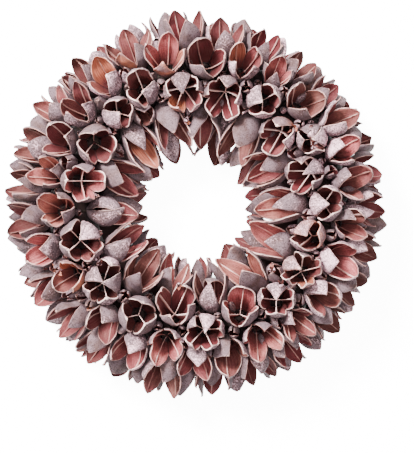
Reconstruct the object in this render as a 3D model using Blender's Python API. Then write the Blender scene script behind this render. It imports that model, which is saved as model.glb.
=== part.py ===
"""Bakuli fruit wreath: a bound ring base with rows of woody, split-open seed pods glued over its front.

The wreath lies on its back, +Z up, its top at +Y. The origin is the centre of the flat back.
A clock angle runs clockwise round the wreath from its top, seen from the front. A lean is the angle
in the ring's section between a pod and straight up, positive away from the wreath's centre.
"""

import math
import random
from dataclasses import dataclass, field

import bmesh
import bpy
import numpy as np
from mathutils import Matrix, Vector

MM = 0.001

# The ring base: a round section, cut flat at the back
RING_RADIUS = 97 * MM
BASE_RADIUS = 19 * MM
BACK_DEPTH = 15.5 * MM
FLAT_LEAN = math.acos(-BACK_DEPTH / BASE_RADIUS)
BASE_STEPS = 60
SECTION_STEPS = 13

# A pod of size 1: a cup that splits into pointed valves. Levels run from 0 at the foot to 1 at the tips
POD_LENGTH = 30 * MM
POD_RADIUS = 13.4 * MM
FOOT_OFFSET = 0.05
FOOT_POWER = 1.25
TIP_OFFSET = 1.35
TIP_POWER = 0.7
WALL = 1.7 * MM
CUP_FLOOR = 0.17
SPLIT_LEVEL = 0.42
HINGE_SHARE = 0.9
BEND_SPAN = 0.35
SLIT_SHARE = 0.05
VALVE_TAPER = 3.4
CURL_LEVEL = 0.66
RIB_HEIGHT = 3.6 * MM
FOOT_LEVEL = 0.13
SHOULDER_LEVEL = 0.80
VALVE_COUNTS = (3, 4, 4, 5)
VALVE_COLUMNS = {3: 4, 4: 2, 5: 2}

# How the pods share the space round the ring
SEAT_GAP = 0.33 * MM
GLUE_RISE = 0.64 * MM
WEB_STEPS = 3
POD_GAP = 0.4 * MM
FLOOR_GAP = 1.5 * MM
BELLY_LEVEL = 0.55
CROWD_RADIUS = 40 * MM
MOUTH_RADIUS = 45 * MM
CROWD_SPACING = 32 * MM
CROWD_ROUNDS = 300
CROWD_STEP = 0.25
SEEN_PULL = 0.08
HIDDEN_PULL = 0.03
MOST_LEAN = math.radians(88)
NEIGHBOUR_REACH = 50 * MM
SMALLEST_POD = 0.6
LEAST_GIRTH = 0.85
GIRTH_STEP = 0.01
LEAST_BEND = math.radians(-5)
HALVINGS = 7
SPINS_TRIED = 4
OUTLINE_LEVELS = (0.12, 0.25, 0.4, 0.5, 0.6, 0.7, 0.8, 0.9, 1.0)
OUTLINE_STATIONS = (-1, -0.5, 0, 0.5, 1)

# How much the pods differ
SIZES = (0.96, 1.10)
GIRTHS = (1.05, 1.20)
VALVE_LENGTHS = (0.92, 1.06)
MOST_TILT = 0.04
CLOCK_SHIFT = 0.15
LEAN_SHIFT = 4
SEED = 11


@dataclass(frozen=True)
class Row:
    """A row of pods round the ring. opening is how far their valves lean outwards, from least to most, and
    curl how far the tips turn back in, at most, all in degrees. Where the pods stand out one by one,
    places holds for each its clock angle, the distance of its mouth from the wreath's centre in mm, how
    many valves it has and the clock direction that one of them points in. Otherwise count spreads them
    evenly."""

    name: str
    runs: int
    opening: tuple
    curl: float
    lean: float = 0.0
    count: int = 0
    places: tuple = ()


ROWS = (
    Row("rim", 13, (-4, 24), 16, lean=87, count=25),
    Row("flank", 12, (-4, 28), 30, lean=57, count=25),
    Row(
        "shoulder", 12, (-4, 28), 46,
        places=(
            (5, 112, 3, 330), (19, 111, 4, 330), (33, 117, 4, 15), (46, 113, 3, 200),
            (58, 118, 3, 190), (69, 119, 3, 170), (81, 118, 3, 295), (97, 119, 4, 230),
            (111, 118, 3, 265), (128, 121, 3, 330), (144, 118, 4, 300), (156, 117, 4, 10),
            (169, 116, 3, 185), (181, 121, 3, 250), (193, 117, 4, 215), (206, 121, 3, 30),
            (218, 117, 3, 40), (243, 117, 3, 0), (257, 122, 3, 330), (268, 112, 4, 30),
            (281, 121, 4, 350), (293, 117, 3, 90), (305, 119, 4, 280), (319, 118, 3, 345),
            (346, 107, 4, 100),
        ),
    ),
    Row(
        "crest", 10, (-4, 26), 64,
        places=(
            (15, 84, 5, 12), (34, 91, 3, 300), (50, 83, 4, 20), (61, 97, 4, 80), (75, 92, 5, 60),
            (90, 103, 3, 270), (105, 94, 3, 330), (122, 101, 5, 12), (141, 97, 4, 2), (160, 84, 3, 10),
            (177, 98, 5, 12), (191, 84, 4, 30), (207, 97, 3, 20), (230, 100, 5, 20), (254, 95, 4, 45),
            (282, 90, 4, 270), (300, 94, 3, 352), (317, 89, 3, 345), (332, 97, 3, 100), (351, 76, 5, 350),
        ),
    ),
    Row(
        "inner", 7, (-4, 28), 36,
        places=(
            (5, 58, 3, 200), (36, 61, 3, 30), (56, 59, 4, 330), (88, 67, 4, 75), (118, 66, 3, 90),
            (143, 68, 3, 40), (173, 66, 4, 190), (192, 66, 4, 330), (214, 66, 4, 35), (243, 66, 4, 220),
            (268, 62, 3, 340), (295, 64, 3, 280), (325, 64, 4, 330), (345, 58, 3, 350),
        ),
    ),
    Row("bore", 5, (-4, 8), 16, lean=-84, count=10),
)


@dataclass
class Pod:
    """One seed pod, from its foot on the ring base to its open mouth."""

    clock: float
    lean: float
    size: float
    girth: float
    valves: int
    spin: float
    tilt: Vector
    openings: list
    curls: list
    lengths: list
    walls: list = field(default_factory=list)

    def place(self):
        """Works out the pod's foot and its own axes from its clock angle and lean."""
        outward = section_normal(self.clock, self.lean)
        self.foot = seat(self.clock, self.lean) + outward * SEAT_GAP
        self.axis = (outward + self.tilt).normalized()
        turn = Vector((0, 0, 1)).rotation_difference(self.axis).to_matrix().to_4x4()
        self.matrix = Matrix.Translation(self.foot) @ turn @ Matrix.Rotation(self.spin, 4, "Z")

    def belly(self):
        """The middle of the pod's widest part."""
        return self.foot + self.axis * (POD_LENGTH * self.size * BELLY_LEVEL)

    def inside_walls(self, points):
        """True if every point is on the pod's own side of all the planes shared with its neighbours."""
        return all(normal.dot(point) <= limit for normal, limit in self.walls for point in points)


def section_centre(clock):
    """The middle of the ring base's section at a clock angle."""
    return Vector((RING_RADIUS * math.sin(clock), RING_RADIUS * math.cos(clock), BACK_DEPTH))


def section_normal(clock, lean):
    """The direction out of the ring base at a clock angle and a lean."""
    return Vector((math.sin(clock) * math.sin(lean), math.cos(clock) * math.sin(lean), math.cos(lean)))


def seat(clock, lean):
    """The point of the faceted ring base that a pod at a clock angle and a lean stands over."""
    half_clock = math.pi / BASE_STEPS
    half_lean = FLAT_LEAN / SECTION_STEPS
    clock_off = clock % (2 * half_clock) - half_clock
    lean_off = (lean + FLAT_LEAN) % (2 * half_lean) - half_lean
    reach = BASE_RADIUS * math.cos(half_lean) / math.cos(lean_off)
    distance = (RING_RADIUS + reach * math.sin(lean)) * math.cos(half_clock) / math.cos(clock_off)
    height = BACK_DEPTH + reach * math.cos(lean)
    return Vector((distance * math.sin(clock), distance * math.cos(clock), height))


def shell_radius(level):
    """The outer radius of a pod of size 1 whose valves stand straight up, at a level."""
    widest = (FOOT_POWER * TIP_OFFSET - TIP_POWER * FOOT_OFFSET) / (FOOT_POWER + TIP_POWER)

    def swell(at):
        return (at + FOOT_OFFSET) ** FOOT_POWER * (TIP_OFFSET - at) ** TIP_POWER

    return POD_RADIUS * swell(level) / swell(widest)


def ease(level, start, end):
    """A smooth rise from 0 at the start level to 1 at the end level."""
    share = min(1.0, max(0.0, (level - start) / (end - start)))
    return share * share * (3 - 2 * share)


def valve_point(pod, valve, across, level, inner=False):
    """A point of one valve in the wreath's frame. across runs from -1 to 1 between the valve's edges."""
    above = max(0.0, (level - SPLIT_LEVEL) / (1 - SPLIT_LEVEL))
    half_angle = math.pi / pod.valves
    angle = across * half_angle * (1 - SLIT_SHARE * min(1.0, 4 * above)) * (1 - above ** VALVE_TAPER)
    radius = pod.girth * shell_radius(level)
    if inner:
        radius = max(0.0, radius - WALL) - RIB_HEIGHT * max(0.0, 1 - 2 * abs(across)) * (1 - above)
    along = radius * math.cos(angle)
    aside = radius * math.sin(angle)
    height = POD_LENGTH * (min(level, SPLIT_LEVEL) + max(0.0, level - SPLIT_LEVEL) * pod.lengths[valve])
    curl = -pod.curls[valve] * ease(level, CURL_LEVEL, 1.0)
    opening = pod.openings[valve] * ease(level, SPLIT_LEVEL, SPLIT_LEVEL + BEND_SPAN)
    for hinge, bend in ((CURL_LEVEL, curl), (SPLIT_LEVEL, opening)):
        hinge_along = HINGE_SHARE * pod.girth * shell_radius(hinge)
        hinge_height = POD_LENGTH * hinge
        reach = along - hinge_along
        rise = height - hinge_height
        along = hinge_along + reach * math.cos(bend) + rise * math.sin(bend)
        height = hinge_height - reach * math.sin(bend) + rise * math.cos(bend)
    turn = Matrix.Rotation(2 * half_angle * valve, 3, "Z")
    return pod.matrix @ (turn @ Vector((along, aside, height)) * pod.size)


def valve_outline(pod, valve):
    """Points spread over a valve's outer face, for testing where it reaches."""
    return [
        valve_point(pod, valve, across, level) for level in OUTLINE_LEVELS for across in OUTLINE_STATIONS
    ]


def first_pods(row, draw):
    """The pods of a row before they push each other apart. spin is left open where any would do."""
    if row.places:
        for clock, mouth, valves, towards in row.places:
            lean = math.asin((mouth * MM - RING_RADIUS) / MOUTH_RADIUS)
            yield math.radians(clock), lean, valves, math.radians(90 - towards)
        return
    phase = draw.random()
    for number in range(row.count):
        clock = math.tau * (number + phase + draw.uniform(-CLOCK_SHIFT, CLOCK_SHIFT)) / row.count
        lean = math.radians(row.lean + draw.uniform(-LEAN_SHIFT, LEAN_SHIFT))
        yield clock % math.tau, lean, draw.choice(VALVE_COUNTS), None


def spread(places, pull):
    """Pushes crowded pods apart over the ring, until they lie about evenly. pull is how strongly each is
    drawn back to its first place."""
    clock, lean = np.array(places).T
    first_clock, first_lean = clock, lean
    pull = np.array(pull)
    for _ in range(CROWD_ROUNDS):
        outward = np.stack([np.sin(clock) * np.sin(lean), np.cos(clock) * np.sin(lean), np.cos(lean)], 1)
        centre = RING_RADIUS * np.stack([np.sin(clock), np.cos(clock), np.zeros_like(clock)], 1)
        point = centre + CROWD_RADIUS * outward
        apart = point[:, None] - point[None]
        distance = np.linalg.norm(apart, axis=2) + np.eye(len(clock))
        short = np.clip(CROWD_SPACING - distance, 0, None) * (1 - np.eye(len(clock)))
        push = (apart * (short / distance)[..., None]).sum(1) * CROWD_STEP
        up_lean = np.stack([np.sin(clock) * np.cos(lean), np.cos(clock) * np.cos(lean), -np.sin(lean)], 1)
        up_clock = np.stack([np.cos(clock), -np.sin(clock), np.zeros_like(clock)], 1)
        clock = clock + (push * up_clock).sum(1) / (RING_RADIUS + CROWD_RADIUS * np.sin(lean))
        lean = lean + (push * up_lean).sum(1) / CROWD_RADIUS
        clock = clock + (first_clock - clock) * pull
        lean = np.clip(lean + (first_lean - lean) * pull, -MOST_LEAN, MOST_LEAN)
    return list(zip(clock % math.tau, lean))


def grow_pods():
    """Every pod of the wreath, by row, placed and with its share of the space fixed."""
    draw = random.Random(SEED)
    owners, firsts = [], []
    for row in ROWS:
        for first in first_pods(row, draw):
            owners.append(row)
            firsts.append(first)
    pull = [SEEN_PULL if row.places else HIDDEN_PULL for row in owners]
    places = spread([first[:2] for first in firsts], pull)
    pods = []
    for row, (_, _, valves, spin), (clock, lean) in zip(owners, firsts, places):
        pods.append(Pod(
            clock=float(clock),
            lean=float(lean),
            size=draw.uniform(*SIZES),
            girth=draw.uniform(*GIRTHS),
            valves=valves,
            spin=draw.uniform(0, math.tau) if spin is None else spin,
            tilt=Vector([draw.uniform(-MOST_TILT, MOST_TILT) for _ in range(3)]),
            openings=[math.radians(draw.uniform(*row.opening)) for _ in range(valves)],
            curls=[math.radians(draw.uniform(0, row.curl)) for _ in range(valves)],
            lengths=[draw.uniform(*VALVE_LENGTHS) for _ in range(valves)],
        ))
        pods[-1].place()
    share_space(pods)
    for (_, _, _, spin), pod in zip(firsts, pods):
        fit_best_spin(pod, SPINS_TRIED if spin is None else 1)
    return list(zip(owners, pods))


def share_space(pods):
    """Gives each pod the planes that part it from its neighbours and from what the wreath lies on."""
    for pod in pods:
        pod.walls.append((Vector((0, 0, -1)), -FLOOR_GAP))
    for index, pod in enumerate(pods):
        for other in pods[index + 1:]:
            between = other.belly() - pod.belly()
            if between.length > NEIGHBOUR_REACH:
                continue
            shared_axis = (pod.axis + other.axis).normalized()
            normal = (between - shared_axis * between.dot(shared_axis)).normalized()
            middle = pod.belly() + between * (pod.size / (pod.size + other.size))
            edge = normal.dot(middle)
            pod.walls.append((normal, edge - POD_GAP / 2))
            other.walls.append((-normal, -edge - POD_GAP / 2))


def fit(pod):
    """Thins a pod until it fits hardly open, then opens each valve as far as it wants or has room for."""
    wanted = list(pod.openings)
    pod.openings = [min(bend, LEAST_BEND) for bend in wanted]

    def fits():
        return all(pod.inside_walls(valve_outline(pod, valve)) for valve in range(pod.valves))

    while pod.girth > LEAST_GIRTH and not fits():
        pod.girth -= GIRTH_STEP
    while pod.size > SMALLEST_POD and not fits():
        pod.size -= GIRTH_STEP
    for valve in range(pod.valves):
        low, high = pod.openings[valve], wanted[valve]
        pod.openings[valve] = high
        if pod.inside_walls(valve_outline(pod, valve)):
            continue
        for _ in range(HALVINGS):
            pod.openings[valve] = (low + high) / 2
            if pod.inside_walls(valve_outline(pod, valve)):
                low = pod.openings[valve]
            else:
                high = pod.openings[valve]
        pod.openings[valve] = low


def fit_best_spin(pod, tries):
    """Turns a pod about its own axis to where it fits largest and widest between its neighbours."""
    size, girth, wanted, spin = pod.size, pod.girth, list(pod.openings), pod.spin
    found = []
    for number in range(tries):
        pod.size, pod.girth, pod.openings = size, girth, list(wanted)
        pod.spin = spin + number * math.tau / (tries * pod.valves)
        pod.place()
        fit(pod)
        width = pod.size * (pod.girth + sum(pod.openings) / pod.valves)
        found.append((width, pod.spin, pod.size, pod.girth, pod.openings))
    _, pod.spin, pod.size, pod.girth, pod.openings = max(found)
    pod.place()


def add_pod(shell, pod):
    """Adds a pod to a bmesh: a cup that splits into pointed valves, each with a rib down its inner face.
    Returns the vertex under its foot and those of the lowest ring."""
    columns = VALVE_COLUMNS[pod.valves]
    stations = [2 * column / columns - 1 for column in range(columns + 1)]

    def ring(level, inner):
        """The points of every valve but for its right edge, round the undivided cup."""
        return [
            shell.verts.new(valve_point(pod, valve, across, level, inner))
            for valve in range(pod.valves) for across in stations[:-1]
        ]

    def arch(valve, inner):
        """The points across one valve at its shoulder."""
        return [
            shell.verts.new(valve_point(pod, valve, across, SHOULDER_LEVEL, inner)) for across in stations
        ]

    foot = shell.verts.new(pod.matrix @ Vector((0, 0, 0)))
    floor = shell.verts.new(pod.matrix @ Vector((0, 0, CUP_FLOOR * POD_LENGTH * pod.size)))
    low = ring(FOOT_LEVEL, False)
    outer = ring(SPLIT_LEVEL, False)
    inner = ring(SPLIT_LEVEL, True)
    around = columns * pod.valves
    for step in range(around):
        after = (step + 1) % around
        shell.faces.new((foot, low[after], low[step]))
        shell.faces.new((low[step], low[after], outer[after], outer[step]))
        shell.faces.new((floor, inner[step], inner[after]))
    for valve in range(pod.valves):
        back = arch(valve, False)
        front = arch(valve, True)
        tip = shell.verts.new(valve_point(pod, valve, 0, 1.0))
        steps = [(columns * valve + column) % around for column in range(columns + 1)]
        for side in range(columns):
            start, end = steps[side], steps[side + 1]
            shell.faces.new((outer[start], outer[end], back[side + 1], back[side]))
            shell.faces.new((back[side], back[side + 1], tip))
            shell.faces.new((inner[end], inner[start], front[side], front[side + 1]))
            shell.faces.new((front[side + 1], front[side], tip))
        shell.faces.new((outer[steps[0]], back[0], front[0], inner[steps[0]]))
        shell.faces.new((back[0], tip, front[0]))
        shell.faces.new((outer[steps[-1]], inner[steps[-1]], front[-1], back[-1]))
        shell.faces.new((back[-1], front[-1], tip))
    return foot, low


def facing_side(foot, low, target):
    """The two neighbours on a pod's lowest ring whose side of the foot faces a point."""
    def alignment(step):
        middle = (low[step].co + low[(step + 1) % len(low)].co) / 2
        return (middle - foot.co).normalized().dot((target - foot.co).normalized())

    step = max(range(len(low)), key=alignment)
    return low[step], low[(step + 1) % len(low)]


def add_glue_web(shell, pod, other, ends):
    """Joins two pods of a run by the glue between their feet: the foot's facing triangle of each is opened,
    and a three-sided web runs from one to the other over the ring base."""
    (foot, low), (other_foot, other_low) = ends
    left, right = facing_side(foot, low, other_foot.co)
    far_right, far_left = facing_side(other_foot, other_low, foot.co)
    for corners in ((foot, left, right), (other_foot, far_left, far_right)):
        shell.faces.remove(shell.faces.get(corners))
    near = (foot, left, right)
    far = (other_foot, far_left, far_right)
    sections = [near]
    for step in range(1, WEB_STEPS):
        share = step / WEB_STEPS
        between = pod.foot.lerp(other.foot, share)
        clock = math.atan2(between.x, between.y)
        lean = math.atan2(math.hypot(between.x, between.y) - RING_RADIUS, between.z - BACK_DEPTH)
        outward = section_normal(clock, lean)
        rise = outward * ((seat(clock, lean) - between).dot(outward) + GLUE_RISE)
        sections.append([shell.verts.new(a.co.lerp(b.co, share) + rise) for a, b in zip(near, far)])
    sections.append(far)
    for first, second in zip(sections, sections[1:]):
        for side in range(3):
            after = (side + 1) % 3
            shell.faces.new((first[side], first[after], second[after], second[side]))


def mesh_object(name, mesh, material, origin=Vector()):
    """An object of a closed bmesh, its faces turned outwards and its origin at a point of the wreath."""
    bmesh.ops.translate(mesh, vec=-origin, verts=mesh.verts)
    bmesh.ops.recalc_face_normals(mesh, faces=mesh.faces)
    data = bpy.data.meshes.new(name)
    mesh.to_mesh(data)
    mesh.free()
    data.materials.append(material)
    obj = bpy.data.objects.new(name, data)
    obj.location = origin
    bpy.context.scene.collection.objects.link(obj)
    return obj


def finish_material(name, colour, roughness):
    """A plain Principled finish."""
    material = bpy.data.materials.new(name)
    material.use_nodes = True
    shader = material.node_tree.nodes["Principled BSDF"]
    shader.inputs["Base Color"].default_value = (*colour, 1)
    shader.inputs["Roughness"].default_value = roughness
    shader.inputs["Metallic"].default_value = 0.0
    return material


def ring_base(material):
    """The bound straw ring that carries the pods: a round section, flat at the back."""
    ring = bmesh.new()
    leans = [FLAT_LEAN * (1 - 2 * number / SECTION_STEPS) for number in range(SECTION_STEPS + 1)]
    sections = []
    for step in range(BASE_STEPS):
        clock = math.tau * step / BASE_STEPS
        centre = section_centre(clock)
        sections.append([
            ring.verts.new(centre + section_normal(clock, lean) * BASE_RADIUS) for lean in leans
        ])
    for step, section in enumerate(sections):
        following = sections[(step + 1) % BASE_STEPS]
        around = len(section)
        for number in range(around):
            after = (number + 1) % around
            ring.faces.new((section[number], section[after], following[after], following[number]))
    base = mesh_object("ring_base", ring, material)
    base.data.shade_smooth()
    base.data.set_sharp_from_angle(angle=math.radians(40))
    return base


def pod_run(name, pods, material):
    """One node: neighbouring pods of a row and the glue between their feet, in one solid."""
    shell = bmesh.new()
    ends = [add_pod(shell, pod) for pod in pods]
    for number in range(len(pods) - 1):
        add_glue_web(shell, pods[number], pods[number + 1], ends[number:number + 2])
    return mesh_object(name, shell, material, pods[0].foot)


def runs_of(pods, runs):
    """Splits the pods of a row, in order round the ring, into runs of nearly equal length."""
    pods = sorted(pods, key=lambda pod: pod.clock)
    ends = [round(len(pods) * number / runs) for number in range(runs + 1)]
    return [pods[start:end] for start, end in zip(ends, ends[1:])]


def middle_of(objects):
    """The middle of the plan view of some objects that haven't been moved since they were made."""
    points = [obj.location + vertex.co for obj in objects for vertex in obj.data.vertices]
    xs = [point.x for point in points]
    ys = [point.y for point in points]
    return Vector(((min(xs) + max(xs)) / 2, (min(ys) + max(ys)) / 2, 0))


def main():
    """Clears the scene, builds the wreath and moves the middle of its plan view to the origin."""
    for obj in list(bpy.data.objects):
        bpy.data.objects.remove(obj)
    wreath = bpy.data.objects.new("wreath", None)
    bpy.context.scene.collection.objects.link(wreath)
    straw = finish_material("bound_straw", (0.09, 0.06, 0.045), 0.9)
    husk = finish_material("pod_husk", (0.25, 0.16, 0.16), 0.8)
    pieces = [ring_base(straw)]
    grown = grow_pods()
    for row in ROWS:
        members = [pod for owner, pod in grown if owner is row]
        for number, pods in enumerate(runs_of(members, row.runs), start=1):
            pieces.append(pod_run(f"pods_{row.name}_{number:02d}", pods, husk))
    for piece in pieces:
        piece.parent = wreath
    wreath.location = -middle_of(pieces)
    bpy.context.view_layer.update()


main()
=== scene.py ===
"""Bakuli fruit wreath: woody, split-open seed pods glued over a bound straw ring, dressed round its CAD.

The wreath lies on its back, +Z up, its top at +Y. A clock angle runs clockwise round the wreath from its
top, seen from the front. A lean is the angle in the ring's section between a pod and straight up, positive
away from the wreath's centre. The pods stand where the CAD has them, by the same rule and the same draws,
and their valves then open, bend and swell a little further than there.
"""

import logging
import math
import random
from dataclasses import dataclass, field
from enum import Enum
from functools import partial
from typing import Any, Callable, Iterator

import bpy
import numpy as np
from mathutils import Matrix, Vector

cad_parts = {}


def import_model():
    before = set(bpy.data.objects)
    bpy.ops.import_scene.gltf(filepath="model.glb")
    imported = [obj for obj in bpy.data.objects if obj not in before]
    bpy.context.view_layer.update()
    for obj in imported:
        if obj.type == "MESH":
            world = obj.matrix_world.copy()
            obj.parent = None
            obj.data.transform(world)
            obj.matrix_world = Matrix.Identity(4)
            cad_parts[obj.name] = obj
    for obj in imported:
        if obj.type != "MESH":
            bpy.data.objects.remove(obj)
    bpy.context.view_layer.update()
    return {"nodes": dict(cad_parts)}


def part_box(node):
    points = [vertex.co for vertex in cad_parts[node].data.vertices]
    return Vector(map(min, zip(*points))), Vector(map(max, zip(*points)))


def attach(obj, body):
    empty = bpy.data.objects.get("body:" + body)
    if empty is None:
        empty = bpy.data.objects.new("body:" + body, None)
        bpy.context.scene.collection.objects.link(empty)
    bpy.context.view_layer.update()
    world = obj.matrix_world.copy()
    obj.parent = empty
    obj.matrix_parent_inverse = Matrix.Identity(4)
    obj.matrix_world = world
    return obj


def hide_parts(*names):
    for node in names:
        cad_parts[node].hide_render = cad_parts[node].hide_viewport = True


LOG = logging.getLogger("wreath")
MM = 0.001
BUD_SEED = 8
BUD_FINENESS = {"Rows": 10, "Columns": 12}
Pair = tuple[float, float]
Colour = tuple[float, float, float]


def operator(operation: str, swapped: bool = False) -> Callable[["Socket", Any], "Socket"]:
    """An operator for sockets: a Math node's operation, swapped where the socket stands on the right."""

    def apply(own: "Socket", other: Any) -> "Socket":
        """The Math node's result."""
        return own.graph.math(operation, *((other, own) if swapped else (own, other)))

    return apply


class Socket:
    """A node's output that can stand in a Python expression: each operator adds one Math node."""

    def __init__(self, graph: "Graph", port: bpy.types.NodeSocket) -> None:
        """Wraps a port of a graph's tree."""
        self.graph = graph
        self.port = port

    __add__ = operator("ADD")
    __radd__ = operator("ADD", swapped=True)
    __sub__ = operator("SUBTRACT")
    __rsub__ = operator("SUBTRACT", swapped=True)
    __mul__ = operator("MULTIPLY")
    __rmul__ = operator("MULTIPLY", swapped=True)
    __truediv__ = operator("DIVIDE")
    __pow__ = operator("POWER")


class Graph:
    """Adds nodes to one tree, a shader's or a Geometry Nodes one."""

    def __init__(self, tree: bpy.types.NodeTree) -> None:
        """Starts on a tree."""
        self.tree = tree

    @staticmethod
    def port(ports: Any, name: int | str) -> bpy.types.NodeSocket:
        """Finds a port.

        Args:
            ports: A node's inputs or outputs.
            name: The name of a port in use, or its number.

        Returns:
            The port.
        """
        if isinstance(name, int):
            return ports[name]
        return next(port for port in ports if port.name == name and port.enabled)

    def node(
        self, kind: str, settings: dict[str, Any] | None = None, sockets: dict[int | str, Any] | None = None
    ) -> bpy.types.Node:
        """Adds a node.

        Args:
            kind: The node's type.
            settings: Its own settings, set first. "stops" holds a ramp's (place, colour) pairs.
            sockets: By name or number, a value or the Socket to link. A list feeds every Socket in it.

        Returns:
            The node.
        """
        made = self.tree.nodes.new(kind)
        for name, value in (settings or {}).items():
            if name == "stops":
                self._set_stops(made.color_ramp, value)
            else:
                setattr(made, name, value)
        for name, value in (sockets or {}).items():
            target = self.port(made.inputs, name)
            for single in value if isinstance(value, list) else [value]:
                if isinstance(single, Socket):
                    self.tree.links.new(single.port, target)
                else:
                    target.default_value = single
        return made

    @staticmethod
    def _set_stops(ramp: bpy.types.ColorRamp, stops: list[tuple[float, Colour]]) -> None:
        """Gives a colour ramp its stops.

        Args:
            ramp: The ramp.
            stops: The place and the colour of each stop.
        """
        while len(ramp.elements) < len(stops):
            ramp.elements.new(0.5)
        for element, (place, colour) in zip(ramp.elements, stops):
            element.position = place
            element.color = (*colour, 1)

    def out(self, made: bpy.types.Node, name: int | str = 0) -> Socket:
        """An output of a node, for use in expressions and links."""
        return Socket(self, self.port(made.outputs, name))

    def math(self, operation: str, *values: Any) -> Socket:
        """A Math node's result."""
        return self.out(self.node("ShaderNodeMath", {"operation": operation}, dict(enumerate(values))))

    def vector_math(self, operation: str, *values: Any) -> Socket:
        """A Vector Math node's vector."""
        return self.out(self.node("ShaderNodeVectorMath", {"operation": operation}, dict(enumerate(values))))

    def rise(self, value: Any, start: Any, end: Any, low: Any = 0.0, high: Any = 1.0) -> Socket:
        """A smooth rise from low at start to high at end."""
        sockets = {"Value": value, "From Min": start, "From Max": end, "To Min": low, "To Max": high}
        return self.out(self.node("ShaderNodeMapRange", {"interpolation_type": "SMOOTHSTEP"}, sockets))

    def combine(self, x: Any, y: Any, z: Any) -> Socket:
        """A vector of three values."""
        return self.out(self.node("ShaderNodeCombineXYZ", None, {"X": x, "Y": y, "Z": z}))

    def split(self, vector: Socket) -> tuple[Socket, Socket, Socket]:
        """The three parts of a vector."""
        parts = self.node("ShaderNodeSeparateXYZ", None, {"Vector": vector})
        return self.out(parts, "X"), self.out(parts, "Y"), self.out(parts, "Z")

    def noise(self, vector: Socket, scale: float, detail: float = 2.0, seed: Any = 0.0) -> Socket:
        """A noise of 0 to 1, about 0.5 on average.

        Args:
            vector: Where it is read.
            scale: How many grains there are to the unit.
            detail: How many finer layers it has.
            seed: Shifts it, so that pieces differ.

        Returns:
            The noise.
        """
        sockets = {"Vector": vector, "Scale": scale, "Detail": detail, "W": seed}
        return self.out(self.node("ShaderNodeTexNoise", {"noise_dimensions": "4D"}, sockets))


class Finish(Graph):
    """A material under way, with a Principled shader at its end."""

    shine = 0.25

    def __init__(self, name: str) -> None:
        """Starts an empty material."""
        self.material = bpy.data.materials.new(name)
        self.material.use_nodes = True
        super().__init__(self.material.node_tree)
        self.shader = self.tree.nodes["Principled BSDF"]

    def attribute(self, name: str) -> Socket:
        """A number that the mesh holds."""
        return self.out(self.node("ShaderNodeAttribute", {"attribute_name": name}), "Fac")

    def place(self) -> Socket:
        """The object's own coordinates, in metres."""
        return self.out(self.node("ShaderNodeTexCoord"), "Object")

    def mix(self, share: Any, first: Any, second: Any) -> Socket:
        """Mixes two colours, each a Socket or a plain colour.

        Args:
            share: The second colour's share.
            first: The first colour.
            second: The second colour.

        Returns:
            The colour between them.
        """
        colours = {"A": first, "B": second}
        sockets = {name: (*c, 1) if isinstance(c, tuple) else c for name, c in colours.items()}
        made = self.node("ShaderNodeMix", {"data_type": "RGBA"}, {"Factor": share, **sockets})
        return self.out(made, "Result")

    def ramp(self, share: Socket, stops: list[tuple[float, Colour]]) -> Socket:
        """A colour read off a row of stops."""
        return self.out(self.node("ShaderNodeValToRGB", {"stops": stops}, {"Fac": share}), "Color")

    def finish(self, colour: Socket, roughness: Any, relief: Socket, depth: float) -> bpy.types.Material:
        """Feeds the shader.

        Args:
            colour: The base colour.
            roughness: The roughness, fixed or varying.
            relief: The height of the fine relief, from 0 to 1.
            depth: The relief's depth in metres.

        Returns:
            The finished material.
        """
        bump = self.node("ShaderNodeBump", None, {"Height": relief, "Distance": depth, "Strength": 1.0})
        self.tree.links.new(self.out(bump).port, self.shader.inputs["Normal"])
        self.tree.links.new(colour.port, self.shader.inputs["Base Color"])
        self.shader.inputs["Specular IOR Level"].default_value = self.shine
        if isinstance(roughness, Socket):
            self.tree.links.new(roughness.port, self.shader.inputs["Roughness"])
        else:
            self.shader.inputs["Roughness"].default_value = roughness
        return self.material


def plain(red: float, green: float, blue: float) -> Colour:
    """Turns a colour as it looks on the screen into the linear values that shaders take.

    Args:
        red: Red, from 0 to 1.
        green: Green, from 0 to 1.
        blue: Blue, from 0 to 1.

    Returns:
        The linear colour.
    """

    def linear(value: float) -> float:
        """One channel, by the sRGB curve."""
        return value / 12.92 if value <= 0.04045 else ((value + 0.055) / 1.055) ** 2.4

    return linear(red), linear(green), linear(blue)


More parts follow.
